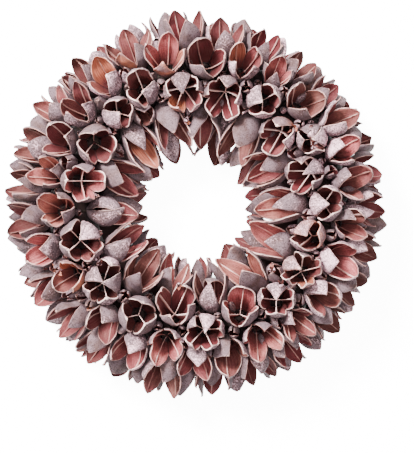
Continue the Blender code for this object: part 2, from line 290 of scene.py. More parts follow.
@dataclass(frozen=True)
class HuskFinish:
    """The dry husk of a pod: speckled grey-mauve outside with a pale bloom, reddish inside, pale rims.

    The scales are grains to the metre, and the counts say how finely streaks, ridges and fibres are spread
    across a valve. Each pair of levels is where something starts to show and where it shows in full. The
    mixes say how much each pattern adds to the bloom, to how light the inside is, and to the relief."""

    outside: Colour = plain(0.42, 0.34, 0.36)
    outside_brown: Colour = plain(0.31, 0.225, 0.215)
    bloom: Colour = plain(0.92, 0.735, 0.775)
    # speck is the colour of the dark specks and of the seams below the split, and also painted shade at the
    # pod's foot
    speck_and_shade: Colour = plain(0.20, 0.14, 0.145)
    rim: Colour = plain(1.0, 0.84, 0.81)
    seam: Colour = plain(0.86, 0.62, 0.57)
    orange: Colour = plain(0.78, 0.45, 0.33)
    rust: Colour = plain(0.45, 0.24, 0.16)
    # deep is the colour of the dark fibres inside, and also painted shade down in the pod's hollow
    deep: Colour = plain(0.24, 0.08, 0.08)
    rose_insides: tuple[tuple[float, Colour], ...] = (
        (0.0, plain(0.34, 0.115, 0.13)),
        (0.3, plain(0.385, 0.18, 0.19)),
        (0.6, plain(0.50, 0.235, 0.24)),
        (1.0, plain(0.74, 0.40, 0.405)),
    )
    tan_insides: tuple[tuple[float, Colour], ...] = (
        (0.0, plain(0.30, 0.155, 0.14)),
        (0.3, plain(0.36, 0.215, 0.195)),
        (0.6, plain(0.475, 0.28, 0.25)),
        (1.0, plain(0.70, 0.43, 0.38)),
    )
    relief: float = 0.6 * MM
    grain_scale: float = 760
    blotch_scale: float = 120
    speckle_scale: float = 1150
    streak_count: float = 14
    ridge_count: float = 11
    fibre_count: float = 26
    bloom_mix: tuple[float, ...] = (1.2, 1.6, 0.15, 0.9, 0.28)
    inside_mix: tuple[float, ...] = (0.7, 0.5, 0.7)
    relief_mix: tuple[float, ...] = (0.4, 0.2, 0.2, 0.5)
    brown_levels: Pair = (0.35, 0.7)
    bloom_levels: Pair = (0.50, 1.30)
    speck_levels: Pair = (0.50, 0.64)
    orange_levels: Pair = (0.4, 0.65)
    fibre_levels: Pair = (0.48, 0.72)
    shade_levels: Pair = (0.10, 0.55)
    border_levels: Pair = (0.962, 0.985)
    tip_levels: Pair = (0.975, 0.992)
    lip_levels: Pair = (0.55, 0.85)
    specks: float = 0.8
    fibres: float = 0.30
    scars: float = 0.4
    sutures: float = 0.7
    rims: float = 0.95
    split_blur: float = 0.08

    def material(self) -> bpy.types.Material:
        """Makes the material, which reads the attributes of the pods' meshes.

        Returns:
            The material.
        """
        f = Finish("dry_husk")
        across, level, depth = (f.attribute(name) for name in ("across", "level", "depth"))
        tone, bloom, orange, seed = (f.attribute(name) for name in ("tone", "bloom", "orange", "seed"))
        fin, pale = f.attribute("fin"), f.attribute("pale")
        place = f.place()
        edge = f.math("ABSOLUTE", across)
        split = f.rise(level, PodForm.split_level, PodForm.split_level + self.split_blur)
        grain = f.noise(place, self.grain_scale, 3, seed)
        blotch = f.noise(place, self.blotch_scale, 3, seed)
        speckle = f.noise(place, self.speckle_scale, 2, seed)
        streaks = f.noise(f.combine(across * self.streak_count, level * 1.6, seed), 1.6, 4)
        ridges = f.noise(f.combine(across * self.ridge_count, level * 2.2, seed), 1.5, 3)
        fibres = f.noise(f.combine(across * self.fibre_count, level * 3, seed), 2.0, 3)

        by_blotch, by_grain, by_tip, by_ridge, by_edge = self.bloom_mix
        outside = f.mix(f.rise(blotch, *self.brown_levels), self.outside, self.outside_brown)
        veil = bloom + (blotch - 0.5) * by_blotch + (grain - 0.5) * by_grain
        veil = veil + f.rise(level, 0.5, 1.0) * by_tip
        # painted shade: less bloom towards the valve's edges, so they look darker beside the pale lip
        veil = veil + (ridges - 0.5) * by_ridge - f.rise(edge, 0.70, 0.96) * by_edge
        outside = f.mix(f.rise(veil, *self.bloom_levels), outside, self.bloom)
        outside = f.mix(f.rise(speckle, *self.speck_levels) * self.specks, outside, self.speck_and_shade)
        outside = f.mix(orange * f.rise(blotch, *self.orange_levels, 0.1, 0.6), outside, self.orange)
        # painted shade: the outside turns dark towards the pod's foot, where the pods crowd together
        outside = f.mix(f.rise(level, 0.05, 0.5, 0.25, 1.0), self.speck_and_shade, outside)

        by_streak, by_blotch, by_grain = self.inside_mix
        light = tone + (streaks - 0.5) * by_streak + (blotch - 0.5) * by_blotch + (grain - 0.5) * by_grain
        rose, tan = (f.ramp(light, list(stops)) for stops in (self.rose_insides, self.tan_insides))
        inside = f.mix(f.rise(f.attribute("warm") + (blotch - 0.5) * 1.2, 0.0, 1.0), rose, tan)
        inside = f.mix(f.rise(fibres, *self.fibre_levels) * self.fibres, inside, self.deep)
        # painted shade: the inside turns dark towards the pod's foot, down in its hollow, broken up by the
        # streaks
        shade = f.rise(level, *self.shade_levels) * (0.68 + 0.32 * f.rise(streaks, 0.3, 0.62))
        inside = f.mix(shade, self.deep, inside)
        scar = (1 - f.rise(edge, 0.015, 0.055)) * f.rise(level, 0.45, 0.75) * (1 - fin)
        inside = f.mix(scar * self.scars, inside, self.seam)
        bare = f.mix(f.rise(streaks, 0.3, 0.7), self.rust, self.orange)
        inside = f.mix(orange * f.rise(level, 0.2, 0.5), inside, bare)

        colour = f.mix(f.rise(depth, 0.45, 0.55), outside, inside)
        border = f.rise(edge, *self.border_levels)
        tip = f.rise(level + (grain - 0.5) * 0.01, *self.tip_levels)
        worn = f.rise(blotch + grain * 0.5, *self.lip_levels, 0.1, 1.0)
        lip = f.math("MAXIMUM", border * split, tip) * worn
        suture = (1 - split) * f.rise(edge, 0.93, 0.99)
        colour = f.mix(suture * self.sutures, colour, self.speck_and_shade)
        rim = f.mix(f.rise(pale + (blotch - 0.5), 0.2, 0.9), self.seam, self.rim)
        keel = fin * f.rise(f.attribute("crest"), 0.55, 1.0)
        lightness = f.math("MAXIMUM", lip * (0.25 + 0.75 * pale), keel * f.attribute("keel"))
        colour = f.mix(lightness * self.rims, colour, rim)

        by_grain, by_blotch, by_speckle, by_ridge = self.relief_mix
        relief = grain * by_grain + blotch * by_blotch + speckle * by_speckle + ridges * by_ridge
        relief = relief * (1 - depth * 0.75) + fibres * depth * 0.5
        roughness = 0.86 - 0.22 * depth * f.rise(streaks, 0.3, 0.7)
        return f.finish(colour, roughness, relief, self.relief)


@dataclass(frozen=True)
class StrawFinish:
    """Near-black straw, partly painted shade: fibres along the ring, each stalk a little lighter or darker.
    """

    # painted shade in part: the straw is made near-black so the gaps between the pods look shaded
    dark: Colour = plain(0.07, 0.03, 0.03)
    light: Colour = plain(0.15, 0.08, 0.07)
    relief: float = 0.5 * MM
    roughness: float = 0.82
    stalks: Pair = (46, 14)
    fibres: Pair = (210, 30)
    levels: Pair = (0.38, 0.66)

    def material(self) -> bpy.types.Material:
        """Makes the material, which reads the attributes of the ring's mesh.

        Returns:
            The material.
        """
        f = Finish("near_black_straw")
        grains = []
        for (around, along), detail in ((self.stalks, 3), (self.fibres, 2)):
            spot = f.combine(f.attribute("around") * around, f.attribute("along") * along, 0.0)
            grains.append(f.noise(spot, 1.0, detail))
        stalk, fibre = grains
        colour = f.mix(f.rise(stalk * 0.7 + fibre * 0.3, *self.levels), self.dark, self.light)
        return f.finish(colour, self.roughness, stalk * 0.6 + fibre * 0.4, self.relief)


@dataclass(frozen=True)
class ThreadFinish:
    """Twisted binding thread, undyed but stained with the straw."""

    dark: Colour = plain(0.08, 0.06, 0.05)
    light: Colour = plain(0.20, 0.15, 0.12)
    relief: float = 0.3 * MM
    roughness: float = 0.9
    twists: float = 2600
    fluff_scale: float = 1400

    def material(self) -> bpy.types.Material:
        """Makes the material, with the thread's twist from its own attributes.

        Returns:
            The material.
        """
        f = Finish("binding_thread")
        twist = f.math("SINE", f.attribute("along") * self.twists + f.attribute("around") * math.tau)
        fluff = f.noise(f.place(), self.fluff_scale, 3)
        height = twist * 0.25 + 0.5 + (fluff - 0.5) * 0.6
        colour = f.mix(f.rise(height, 0.2, 0.9), self.dark, self.light)
        return f.finish(colour, self.roughness, height, self.relief)


class Inside(Enum):
    """The colour inside a pod, as a place between dark maroon and salmon."""

    MAROON = 0.05
    BROWN = 0.32
    RED = 0.58
    SALMON = 0.76


@dataclass(frozen=True)
class Spot:
    """A pod that stands out by itself. mouth is the distance of its mouth from the wreath's centre in mm.
    towards is the clock direction that one of its valves points in. curled holds the directions of the valves
    that are folded shut over the mouth, wide those of the valves that stand wide open, and orange those of
    the bare orange-brown ones. bloom is how pale the pod is outside."""

    clock: float
    mouth: float
    valves: int
    towards: float
    inside: Inside = Inside.BROWN
    curled: tuple[float, ...] = ()
    wide: tuple[float, ...] = ()
    orange: tuple[float, ...] = ()
    bloom: float = 0.35


@dataclass(frozen=True)
class Trim:
    """How a row's pods look up close. taper is how bluntly the valves end, reach how much longer their tips
    are than in the CAD, spread how much further they may open, in degrees, wall how thick they are, fin how
    high the fins stand in the pod's middle, hollow how steeply they fall from the wall to there, pale how
    light rims and fins are, and tone how much lighter the inside is. least_bend is how far the valves open
    even where space is scarce, and flare how far their tips turn back out, both in degrees. weight is the
    pod's claim to the space between it and its neighbours."""

    taper: float
    reach: float
    spread: float
    wall: float
    fin: float
    hollow: float
    pale: float
    tone: float = 0.0
    least_bend: float = -5.0
    flare: float = 0.0
    weight: float = 1.0


@dataclass(frozen=True)
class Row:
    """A row of pods round the ring. opening is how far the valves lean outwards, from least to most, and
    curl how far the tips turn back in, at most, all in degrees. Where it has no spots of its own, count pods
    are spread evenly at a lean."""

    name: str
    opening: Pair
    curl: float
    trim: Trim
    lean: float = 0.0
    count: int = 0
    spots: tuple[Spot, ...] = ()


M, B, R, S = Inside.MAROON, Inside.BROWN, Inside.RED, Inside.SALMON
SHOULDER_SPOTS = (
    Spot(5, 112, 3, 330, M), Spot(19, 111, 4, 330, B), Spot(33, 117, 4, 15, R), Spot(46, 113, 3, 200, B),
    Spot(58, 118, 3, 190, B), Spot(69, 119, 3, 170, R), Spot(81, 118, 3, 295, B), Spot(97, 119, 4, 230, B),
    Spot(111, 118, 3, 265, R), Spot(128, 121, 3, 330, B), Spot(144, 118, 4, 300, B), Spot(156, 117, 4, 10, R),
    Spot(169, 116, 3, 185, B), Spot(181, 121, 3, 250, B), Spot(193, 117, 4, 215, R), Spot(206, 121, 3, 30, B),
    Spot(218, 117, 3, 40, M), Spot(243, 117, 3, 0, B, orange=(120,)), Spot(257, 122, 3, 330, S),
    Spot(268, 112, 4, 30, S), Spot(281, 121, 4, 350, S), Spot(293, 117, 3, 90, M),
    Spot(305, 119, 4, 280, B), Spot(319, 118, 3, 345, R), Spot(346, 107, 4, 100, R, orange=(190,)),
)
CREST_SPOTS = (
    Spot(15, 84, 5, 12, M, bloom=0.6), Spot(34, 91, 3, 300, B, (300,)), Spot(50, 83, 4, 20, B),
    Spot(61, 97, 4, 80, B, (80, 350), bloom=0.6), Spot(75, 92, 5, 60, M, (40,)),
    Spot(90, 103, 3, 270, B, (270,)), Spot(105, 94, 3, 330, M, (330,), orange=(75,)),
    Spot(122, 101, 5, 12, M, (310,)), Spot(141, 97, 4, 2, B, (0,)), Spot(160, 84, 3, 10, S, wide=(0,)),
    Spot(177, 98, 5, 12, M, (10,)), Spot(191, 84, 4, 30, B), Spot(207, 97, 3, 20, M),
    Spot(230, 100, 5, 20, M, (310, 60)), Spot(254, 95, 4, 45, B, (45,)),
    Spot(282, 90, 4, 270, S, wide=(270,)), Spot(300, 94, 3, 352, M), Spot(317, 89, 3, 345, M, (215,)),
    Spot(332, 97, 3, 100, B, (100,)),
    Spot(351, 76, 5, 350, B, (350,)),
)
INNER_SPOTS = (
    Spot(5, 58, 3, 200, B), Spot(36, 61, 3, 30, B), Spot(56, 59, 4, 330, R), Spot(88, 67, 4, 75, S, (75,)),
    Spot(118, 66, 3, 90, S, (90,)), Spot(143, 68, 3, 40, S), Spot(173, 66, 4, 190, B, (190, 10)),
    Spot(192, 66, 4, 330, R), Spot(214, 66, 4, 35, B), Spot(243, 66, 4, 220, B, (225,)),
    Spot(268, 62, 3, 340, B, (340, 220)), Spot(295, 64, 3, 280, R), Spot(325, 64, 4, 330, B, (324,)),
    Spot(345, 58, 3, 350, B),
)
POINTED = Trim(
    taper=3.3, reach=1.06, spread=4, wall=0.85 * MM, fin=0.20, hollow=6.0, pale=0.32, tone=-0.12, flare=13.0
)
OPENED = Trim(
    taper=2.2, reach=1.05, spread=4, wall=0.95 * MM, fin=0.28, hollow=4.0, pale=0.48,
    least_bend=4.0, flare=8.0,
)
CUPPED = Trim(
    taper=3.0, reach=1.0, spread=5, wall=1.15 * MM, fin=0.56, hollow=1.8, pale=0.75,
    least_bend=8.0, weight=1.22,
)
ROWS = (
    Row("rim", (2, 26), 6, POINTED, lean=87, count=25),
    Row("flank", (2, 28), 8, POINTED, lean=57, count=25),
    Row("shoulder", (2, 28), 14, OPENED, spots=SHOULDER_SPOTS),
    Row("crest", (10, 30), 12, CUPPED, spots=CREST_SPOTS),
    Row("inner", (2, 28), 12, OPENED, spots=INNER_SPOTS),
    Row("bore", (0, 12), 6, POINTED, lean=-84, count=10),
)


@dataclass(frozen=True)
class RingForm:
    """The ring base's sizes: a round section with a flat back, in facets as the CAD has it."""

    radius: float = 97 * MM
    section: float = 19 * MM
    back: float = 15.5 * MM
    steps: int = 60
    section_steps: int = 13

    @property
    def flat_lean(self) -> float:
        """The lean at which the round section meets the flat back."""
        return math.acos(-self.back / self.section)

    def middle(self, clock: float) -> Vector:
        """The middle of the section at a clock angle."""
        return Vector((self.radius * math.sin(clock), self.radius * math.cos(clock), self.back))

    def normal(self, clock: float, lean: float) -> Vector:
        """The direction out of the ring at a clock angle and a lean."""
        aside = math.sin(lean)
        return Vector((math.sin(clock) * aside, math.cos(clock) * aside, math.cos(lean)))

    def seat(self, clock: float, lean: float) -> Vector:
        """Finds the point of the faceted ring that a pod stands over.

        Args:
            clock: The pod's clock angle.
            lean: Its lean.

        Returns:
            The point on the facet.
        """
        half_clock = math.pi / self.steps
        half_lean = self.flat_lean / self.section_steps
        clock_off = clock % (2 * half_clock) - half_clock
        lean_off = (lean + self.flat_lean) % (2 * half_lean) - half_lean
        reach = self.section * math.cos(half_lean) / math.cos(lean_off)
        distance = (self.radius + reach * math.sin(lean)) * math.cos(half_clock) / math.cos(clock_off)
        height = self.back + reach * math.cos(lean)
        return Vector((distance * math.sin(clock), distance * math.cos(clock), height))


@dataclass(frozen=True)
class PodForm:
    """The sizes of a pod of size 1: a cup that splits into pointed valves, with levels from 0 to 1. The
    offsets and powers shape its egg profile at the foot and at the tip."""

    length: float = 30 * MM
    radius: float = 13.4 * MM
    foot_offset: float = 0.04
    foot_power: float = 0.75
    tip_offset: float = 1.12
    tip_power: float = 0.62
    split_level: float = 0.42
    hinge_share: float = 0.9
    bend_span: float = 0.35
    slit_share: float = 0.05
    slit_rate: float = 4
    taper: float = 2.6
    roundness: float = 0.6
    curl_level: float = 0.66

    @property
    def widest(self) -> float:
        """The level at which the shell is widest."""
        top = self.foot_power * self.tip_offset - self.tip_power * self.foot_offset
        return top / (self.foot_power + self.tip_power)

    def swell(self, level: Any) -> Any:
        """How far the shell swells at a level, a number or a Socket."""
        return (level + self.foot_offset) ** self.foot_power * (self.tip_offset - level) ** self.tip_power

    def shell(self, level: Any) -> Any:
        """The outer radius at a level, while the valves stand straight up."""
        return self.radius / self.swell(self.widest) * self.swell(level)


RING = RingForm()
FORM = PodForm()


def ease(level: float, start: float, end: float) -> float:
    """A smooth rise from 0 at the start level to 1 at the end level."""
    share = min(1.0, max(0.0, (level - start) / (end - start)))
    return share * share * (3 - 2 * share)


@dataclass
class Pod:
    """One seed pod, from its foot on the ring base to its open mouth. spin turns it about its own axis, tilt
    leans that axis off the ring's normal, and walls are the planes that part it from its neighbours. The
    lists hold one number for each valve, angles in radians."""

    clock: float
    lean: float
    size: float
    girths: list[float]
    valves: int
    spin: float
    tilt: Vector
    openings: list[float]
    curls: list[float]
    lengths: list[float]
    walls: list[tuple[Vector, float]] = field(default_factory=list)
    tone: float = 0.3
    blooms: list[float] = field(default_factory=list)
    oranges: list[float] = field(default_factory=list)
    tapers: list[float] = field(default_factory=list)
    warm: float = 0.5
    weight: float = 1.0

    seat_gap = 0.33 * MM
    belly_level = 0.55

    def place(self) -> None:
        """Works out the pod's foot and its own axes from its clock angle and lean."""
        outward = RING.normal(self.clock, self.lean)
        self.foot = RING.seat(self.clock, self.lean) + outward * self.seat_gap
        self.axis = (outward + self.tilt).normalized()
        turn = Vector((0, 0, 1)).rotation_difference(self.axis).to_matrix().to_4x4()
        self.matrix = Matrix.Translation(self.foot) @ turn @ Matrix.Rotation(self.spin, 4, "Z")

    def belly(self) -> Vector:
        """The middle of the pod's widest part."""
        return self.foot + self.axis * (FORM.length * self.size * self.belly_level)

    def valve_turn(self, valve: int) -> Matrix:
        """How a valve is turned: the pod's own turn and then the valve's round the pod."""
        return self.matrix.to_3x3() @ Matrix.Rotation(math.tau / self.valves * valve, 3, "Z")

    def valve_towards(self, direction: float) -> int:
        """Finds a valve by where it points.

        Args:
            direction: A clock direction in degrees.

        Returns:
            The number of the valve that points most nearly that way.
        """
        aim = math.radians(direction)
        target = Vector((math.sin(aim), math.cos(aim), 0))
        return max(range(self.valves), key=lambda k: (self.valve_turn(k) @ Vector((1, 0, 0))).dot(target))

    def edge_girth(self, valve: int, side: int) -> float:
        """The girth where a valve meets the next one (side 1) or the one before (side -1)."""
        return (self.girths[valve] + self.girths[(valve + side) % self.valves]) / 2

    def parting(self, other: "Pod") -> tuple[Vector, Vector]:
        """Finds how another pod lies beside this one.

        Args:
            other: The other pod.

        Returns:
            The way from this pod's belly to the other's, and the normal of a plane that parts the two.
        """
        between = other.belly() - self.belly()
        shared_axis = (self.axis + other.axis).normalized()
        return between, (between - shared_axis * between.dot(shared_axis)).normalized()

    def point(self, valve: int, across: float, level: float) -> Vector:
        """Finds a point of a valve's outer face.

        Args:
            valve: The valve's number.
            across: From -1 to 1 between the valve's edges.
            level: From 0 at the foot to 1 at the tip.

        Returns:
            The point on the wreath.
        """
        edge = self.edge_girth(valve, 1 if across > 0 else -1)
        girth = self.girths[valve] + (edge - self.girths[valve]) * across * across
        above = max(0.0, (level - FORM.split_level) / (1 - FORM.split_level))
        half_angle = math.pi / self.valves
        slit = 1 - FORM.slit_share * min(1.0, FORM.slit_rate * above)
        angle = across * half_angle * slit * (1 - above ** FORM.taper) ** FORM.roundness
        radius = girth * FORM.shell(level)
        along, aside = radius * math.cos(angle), radius * math.sin(angle)
        free = max(0.0, level - FORM.split_level) * self.lengths[valve]
        height = FORM.length * (min(level, FORM.split_level) + free)
        curl = -self.curls[valve] * ease(level, FORM.curl_level, 1.0)
        opening = self.openings[valve] * ease(level, FORM.split_level, FORM.split_level + FORM.bend_span)
        for hinge, bend in ((FORM.curl_level, curl), (FORM.split_level, opening)):
            hinge_along = FORM.hinge_share * girth * FORM.shell(hinge)
            reach, climb = along - hinge_along, height - FORM.length * hinge
            along = hinge_along + reach * math.cos(bend) + climb * math.sin(bend)
            height = FORM.length * hinge - reach * math.sin(bend) + climb * math.cos(bend)
        return self.foot + self.valve_turn(valve) @ Vector((along, aside, height)) * self.size


@dataclass
class Layout:
    """Places every pod of the wreath, by the same rule and with the same draws as the CAD.

    The crowd sizes and pulls rule how the pods push each other apart. The shifts and peaks give the outline
    and the hole their uneven shapes: a peak is where it stands and how wide it is, in degrees, and its height
    in mm. The pairs are the ranges of the draws."""

    pod_gap: float = 0.4 * MM
    floor_gap: float = 1.5 * MM
    crowd_radius: float = 40 * MM
    mouth_radius: float = 45 * MM
    crowd_spacing: float = 32 * MM
    crowd_rounds: int = 300
    crowd_step: float = 0.25
    seen_pull: float = 0.08
    hidden_pull: float = 0.03
    most_lean: float = math.radians(88)
    neighbour_reach: float = 50 * MM
    smallest_pod: float = 0.6
    least_girth: float = 0.72
    girth_step: float = 0.01
    halvings: int = 7
    spins_tried: int = 4
    inner_reach: float = 37 * MM
    inner_shift: float = 3.5 * MM
    inner_clock: float = math.radians(205)
    outer_reach: float = 146.4 * MM
    outer_shift: float = 3.4 * MM
    outer_clock: float = math.radians(244)
    flat_lean: float = math.radians(75)
    inner_lean: float = math.radians(28)
    most_share: float = 1.3
    most_swell: float = 1.6
    thinnest: float = 0.4
    most_girth: float = 1.7
    least_growth: float = 0.8
    most_growth: float = 1.15
    press: float = 5.0 * MM
    press_level: float = 0.75
    touch: float = 0.6 * MM
    ceiling: float = 69.0 * MM
    lowering: float = 0.98
    top_levels: tuple[float, ...] = (0.8, 0.9, 1.0)
    peaks: tuple[tuple[float, float, float], ...] = (
        (354, 5, 8.0), (100, 6, 2.5), (343, 4, 4.0), (187, 9, 3.0), (15, 5, 2.5),
    )
    clock_slack: float = 0.15
    lean_slack: float = 4
    sizes: Pair = (0.96, 1.10)
    first_girths: Pair = (1.05, 1.20)
    valve_lengths: Pair = (0.92, 1.06)
    most_tilt: float = 0.04
    plump: float = 1.10
    stout: float = 1.10
    tilted: float = 2.2
    levels: tuple[float, ...] = (0.12, 0.25, 0.4, 0.5, 0.6, 0.7, 0.8, 0.9, 1.0)
    stations: tuple[float, ...] = (-1, -0.5, 0, 0.5, 1)
    valve_counts: tuple[int, ...] = (3, 4, 4, 5)
    seed: int = 11

    def first_places(self, row: Row, draw: random.Random) -> Iterator[tuple[float, float, int, float | None]]:
        """The pods of a row before they push each other apart.

        Args:
            row: The row.
            draw: The source of the random draws.

        Returns:
            For each pod its clock angle, lean, number of valves and spin, open where any would do.
        """
        if row.spots:
            for spot in row.spots:
                lean = math.asin((spot.mouth * MM - RING.radius) / self.mouth_radius)
                yield math.radians(spot.clock), lean, spot.valves, math.radians(90 - spot.towards)
            return
        phase = draw.random()
        for number in range(row.count):
            slack = draw.uniform(-self.clock_slack, self.clock_slack)
            clock = math.tau * (number + phase + slack) / row.count
            lean = math.radians(row.lean + draw.uniform(-self.lean_slack, self.lean_slack))
            yield clock % math.tau, lean, draw.choice(self.valve_counts), None

    def spread(self, places: list[Pair], pull: np.ndarray) -> list[Pair]:
        """Pushes crowded pods apart over the ring, until they lie about evenly.

        Args:
            places: The clock angle and lean of each pod.
            pull: How strongly each is drawn back to its first place.

        Returns:
            The new clock angles and leans.
        """
        clock, lean = np.array(places).T
        first_clock, first_lean = clock, lean
        for _ in range(self.crowd_rounds):
            outward = np.stack([np.sin(clock) * np.sin(lean), np.cos(clock) * np.sin(lean), np.cos(lean)], 1)
            centre = RING.radius * np.stack([np.sin(clock), np.cos(clock), np.zeros_like(clock)], 1)
            point = centre + self.crowd_radius * outward
            apart = point[:, None] - point[None]
            distance = np.linalg.norm(apart, axis=2) + np.eye(len(clock))
            short = np.clip(self.crowd_spacing - distance, 0, None) * (1 - np.eye(len(clock)))
            push = (apart * (short / distance)[..., None]).sum(1) * self.crowd_step
            up_lean = np.stack([np.sin(clock) * np.cos(lean), np.cos(clock) * np.cos(lean), -np.sin(lean)], 1)
            up_clock = np.stack([np.cos(clock), -np.sin(clock), np.zeros_like(clock)], 1)
            clock = clock + (push * up_clock).sum(1) / (RING.radius + self.crowd_radius * np.sin(lean))
            lean = lean + (push * up_lean).sum(1) / self.crowd_radius
            clock = clock + (first_clock - clock) * pull
            lean = np.clip(lean + (first_lean - lean) * pull, -self.most_lean, self.most_lean)
        return list(zip(clock % math.tau, lean))

    def grow(self) -> list[tuple[Row, Pod, Spot | None]]:
        """Grows all pods, each as large and as open as it has room for.

        Returns:
            Each pod with its row and its spot, if it has one.
        """
        draw = random.Random(self.seed)
        owners, firsts, spots = [], [], []
        for row in ROWS:
            for number, first in enumerate(self.first_places(row, draw)):
                owners.append(row)
                firsts.append(first)
                spots.append(row.spots[number] if row.spots else None)
        pull = np.array([self.seen_pull if row.spots else self.hidden_pull for row in owners])
        places = self.spread([first[:2] for first in firsts], pull)
        pods = []
        for row, (_, _, valves, spin), (clock, lean) in zip(owners, firsts, places):
            pods.append(Pod(
                clock=float(clock),
                lean=float(lean),
                size=draw.uniform(*self.sizes) * self.plump,
                girths=[draw.uniform(*self.first_girths) * self.stout * math.sqrt(row.trim.weight)] * valves,
                valves=valves,
                spin=draw.uniform(0, math.tau) if spin is None else spin,
                tilt=Vector([draw.uniform(-self.most_tilt, self.most_tilt) for _ in range(3)]) * self.tilted,
                openings=[math.radians(draw.uniform(*row.opening)) for _ in range(valves)],
                curls=[math.radians(draw.uniform(0, row.curl) - row.trim.flare) for _ in range(valves)],
                lengths=[draw.uniform(*self.valve_lengths) * row.trim.reach for _ in range(valves)],
                weight=row.trim.weight,
            ))
            pods[-1].place()
            self.stretch(pods[-1])
        self.share_space(pods)
        for row, (_, _, _, spin), pod in zip(owners, firsts, pods):
            self.fit_best_spin(pod, self.spins_tried if spin is None else 1, row.trim)
        for row, pod in zip(owners, pods):
            self.loosen(row, pod)
            self.lower(pod)
        return list(zip(owners, pods, spots))

    def bounds(self, clock: float) -> Pair:
        """Says how far the tips may reach: the wreath is not quite round, nor its hole quite in the middle.

        Args:
            clock: The clock angle.

        Returns:
            How near the ring's centre and how far from it they may be there.
        """
        inner = self.inner_reach + self.inner_shift * math.cos(clock - self.inner_clock)
        outer = self.outer_reach + self.outer_shift * math.cos(clock - self.outer_clock)
        for middle, span, height in self.peaks:
            off = (math.degrees(clock) - middle + 180) % 360 - 180
            outer += height * MM * math.exp(-((off / span) ** 2))
        return inner, outer

    def stretch(self, pod: Pod) -> None:
        """Makes a pod that lies flat as long as it takes to reach the outline of the wreath.

        Args:
            pod: The pod, changed in place.
        """
        tips = [math.hypot(*pod.point(valve, 0.0, 1.0).xy) for valve in range(pod.valves)]
        start = math.hypot(*pod.foot.xy)
        inner, outer = self.bounds(pod.clock)
        if pod.lean > 0:
            share = (outer - start) / (max(tips) - start)
        else:
            share = (start - inner) / (start - min(tips))
        if -self.inner_lean < pod.lean < self.flat_lean and share > 1:
            return
        share = min(share, self.most_share)
        growth = min(self.most_growth, max(self.least_growth, share))
        pod.size *= math.sqrt(growth)
        level = FORM.split_level
        pod.lengths = [
            ((level + (1 - level) * length) * share / math.sqrt(growth) - level) / (1 - level)
            for length in pod.lengths
        ]

    def share_space(self, pods: list[Pod]) -> None:
        """Gives each pod the planes that part it from its neighbours.

        Args:
            pods: The pods, changed in place.
        """
        for index, pod in enumerate(pods):
            for other in pods[index + 1:]:
                between, normal = pod.parting(other)
                if between.length > self.neighbour_reach:
                    continue
                claims = pod.size * pod.weight, other.size * other.weight
                middle = pod.belly() + between * (claims[0] / sum(claims))
                edge = normal.dot(middle)
                pod.walls.append((normal, edge - self.pod_gap / 2))
                other.walls.append((-normal, -edge - self.pod_gap / 2))

    def valve_fits(self, pod: Pod, valve: int) -> bool:
        """Tests whether a valve stays off the floor, inside the outline and on the pod's side of its planes.
        Dry husks press against each other, so the tips may reach a little past the planes.

        Args:
            pod: The pod.
            valve: The valve's number.

        Returns:
            True if it does.
        """
        for level in self.levels:
            spare = self.press if level > self.press_level else self.touch
            for across in self.stations:
                point = pod.point(valve, across, level)
                distance = math.hypot(point.x, point.y)
                if point.z < self.floor_gap or distance > self.bounds(pod.clock)[1] + self.floor_gap:
                    return False
                if any(normal.dot(point) > limit + spare for normal, limit in pod.walls):
                    return False
        return True

    def widen(self, values: list[float], valve: int, most: float, fits: Callable[[], bool]) -> None:
        """Raises one of a pod's numbers as far as the pod still fits.

        Args:
            values: The numbers, one for each valve, with which the pod fits now.
            valve: The valve's number.
            most: The most that its value may become.
            fits: The test of whether the pod fits.
        """
        low, high = values[valve], most
        for _ in range(self.halvings):
            values[valve] = (low + high) / 2
            if fits():
                low = values[valve]
            else:
                high = values[valve]
        values[valve] = low

    def fit(self, pod: Pod, trim: Trim) -> None:
        """Thins a pod until it fits hardly open, then opens and swells each valve as far as it has room.

        Args:
            pod: The pod, changed in place, with the openings that it should have.
            trim: The trim of its row, which says how far its valves open at least.
        """
        wanted = list(pod.openings)
        pod.openings = [min(bend, math.radians(trim.least_bend)) for bend in wanted]

        def fits() -> bool:
            """True if the whole pod fits."""
            return all(self.valve_fits(pod, valve) for valve in range(pod.valves))

        least = self.least_girth if pod.girths[0] > 1 else self.thinnest
        while pod.girths[0] > least and not fits():
            pod.girths = [girth - self.girth_step for girth in pod.girths]
        while pod.size > self.smallest_pod and not fits():
            pod.size -= self.girth_step
        for valve in range(pod.valves):
            least_opening, pod.openings[valve] = pod.openings[valve], wanted[valve]
            if not self.valve_fits(pod, valve):
                pod.openings[valve] = least_opening
                self.widen(pod.openings, valve, wanted[valve], partial(self.valve_fits, pod, valve))
        for valve in range(pod.valves):
            self.swell(pod, valve)

    def loosen(self, row: Row, pod: Pod) -> None:
        """Opens a fitted pod further than the CAD has it, as far as it has room for.

        Args:
            row: The pod's row.
            pod: The pod, changed in place.
        """
        for valve in range(pod.valves):
            most = pod.openings[valve] + math.radians(row.trim.spread)
            self.widen(pod.openings, valve, most, partial(self.valve_fits, pod, valve))

    def lower(self, pod: Pod) -> None:
        """Shortens the valves of a pod that would stand higher than the wreath.

        Args:
            pod: The pod, changed in place.
        """
        for valve in range(pod.valves):
            while max(pod.point(valve, 0.0, level).z for level in self.top_levels) > self.ceiling:
                pod.lengths[valve] *= self.lowering

    def swell(self, pod: Pod, valve: int) -> None:
        """Makes a valve as stout as it has room for, with the sides of the valves next to it.

        Args:
            pod: The pod, changed in place.
            valve: The valve's number.
        """
        most = min(pod.girths[valve] * self.most_swell, self.most_girth)
        touched = sorted({(valve + side) % pod.valves for side in (-1, 0, 1)})
        self.widen(pod.girths, valve, most, lambda: all(self.valve_fits(pod, near) for near in touched))

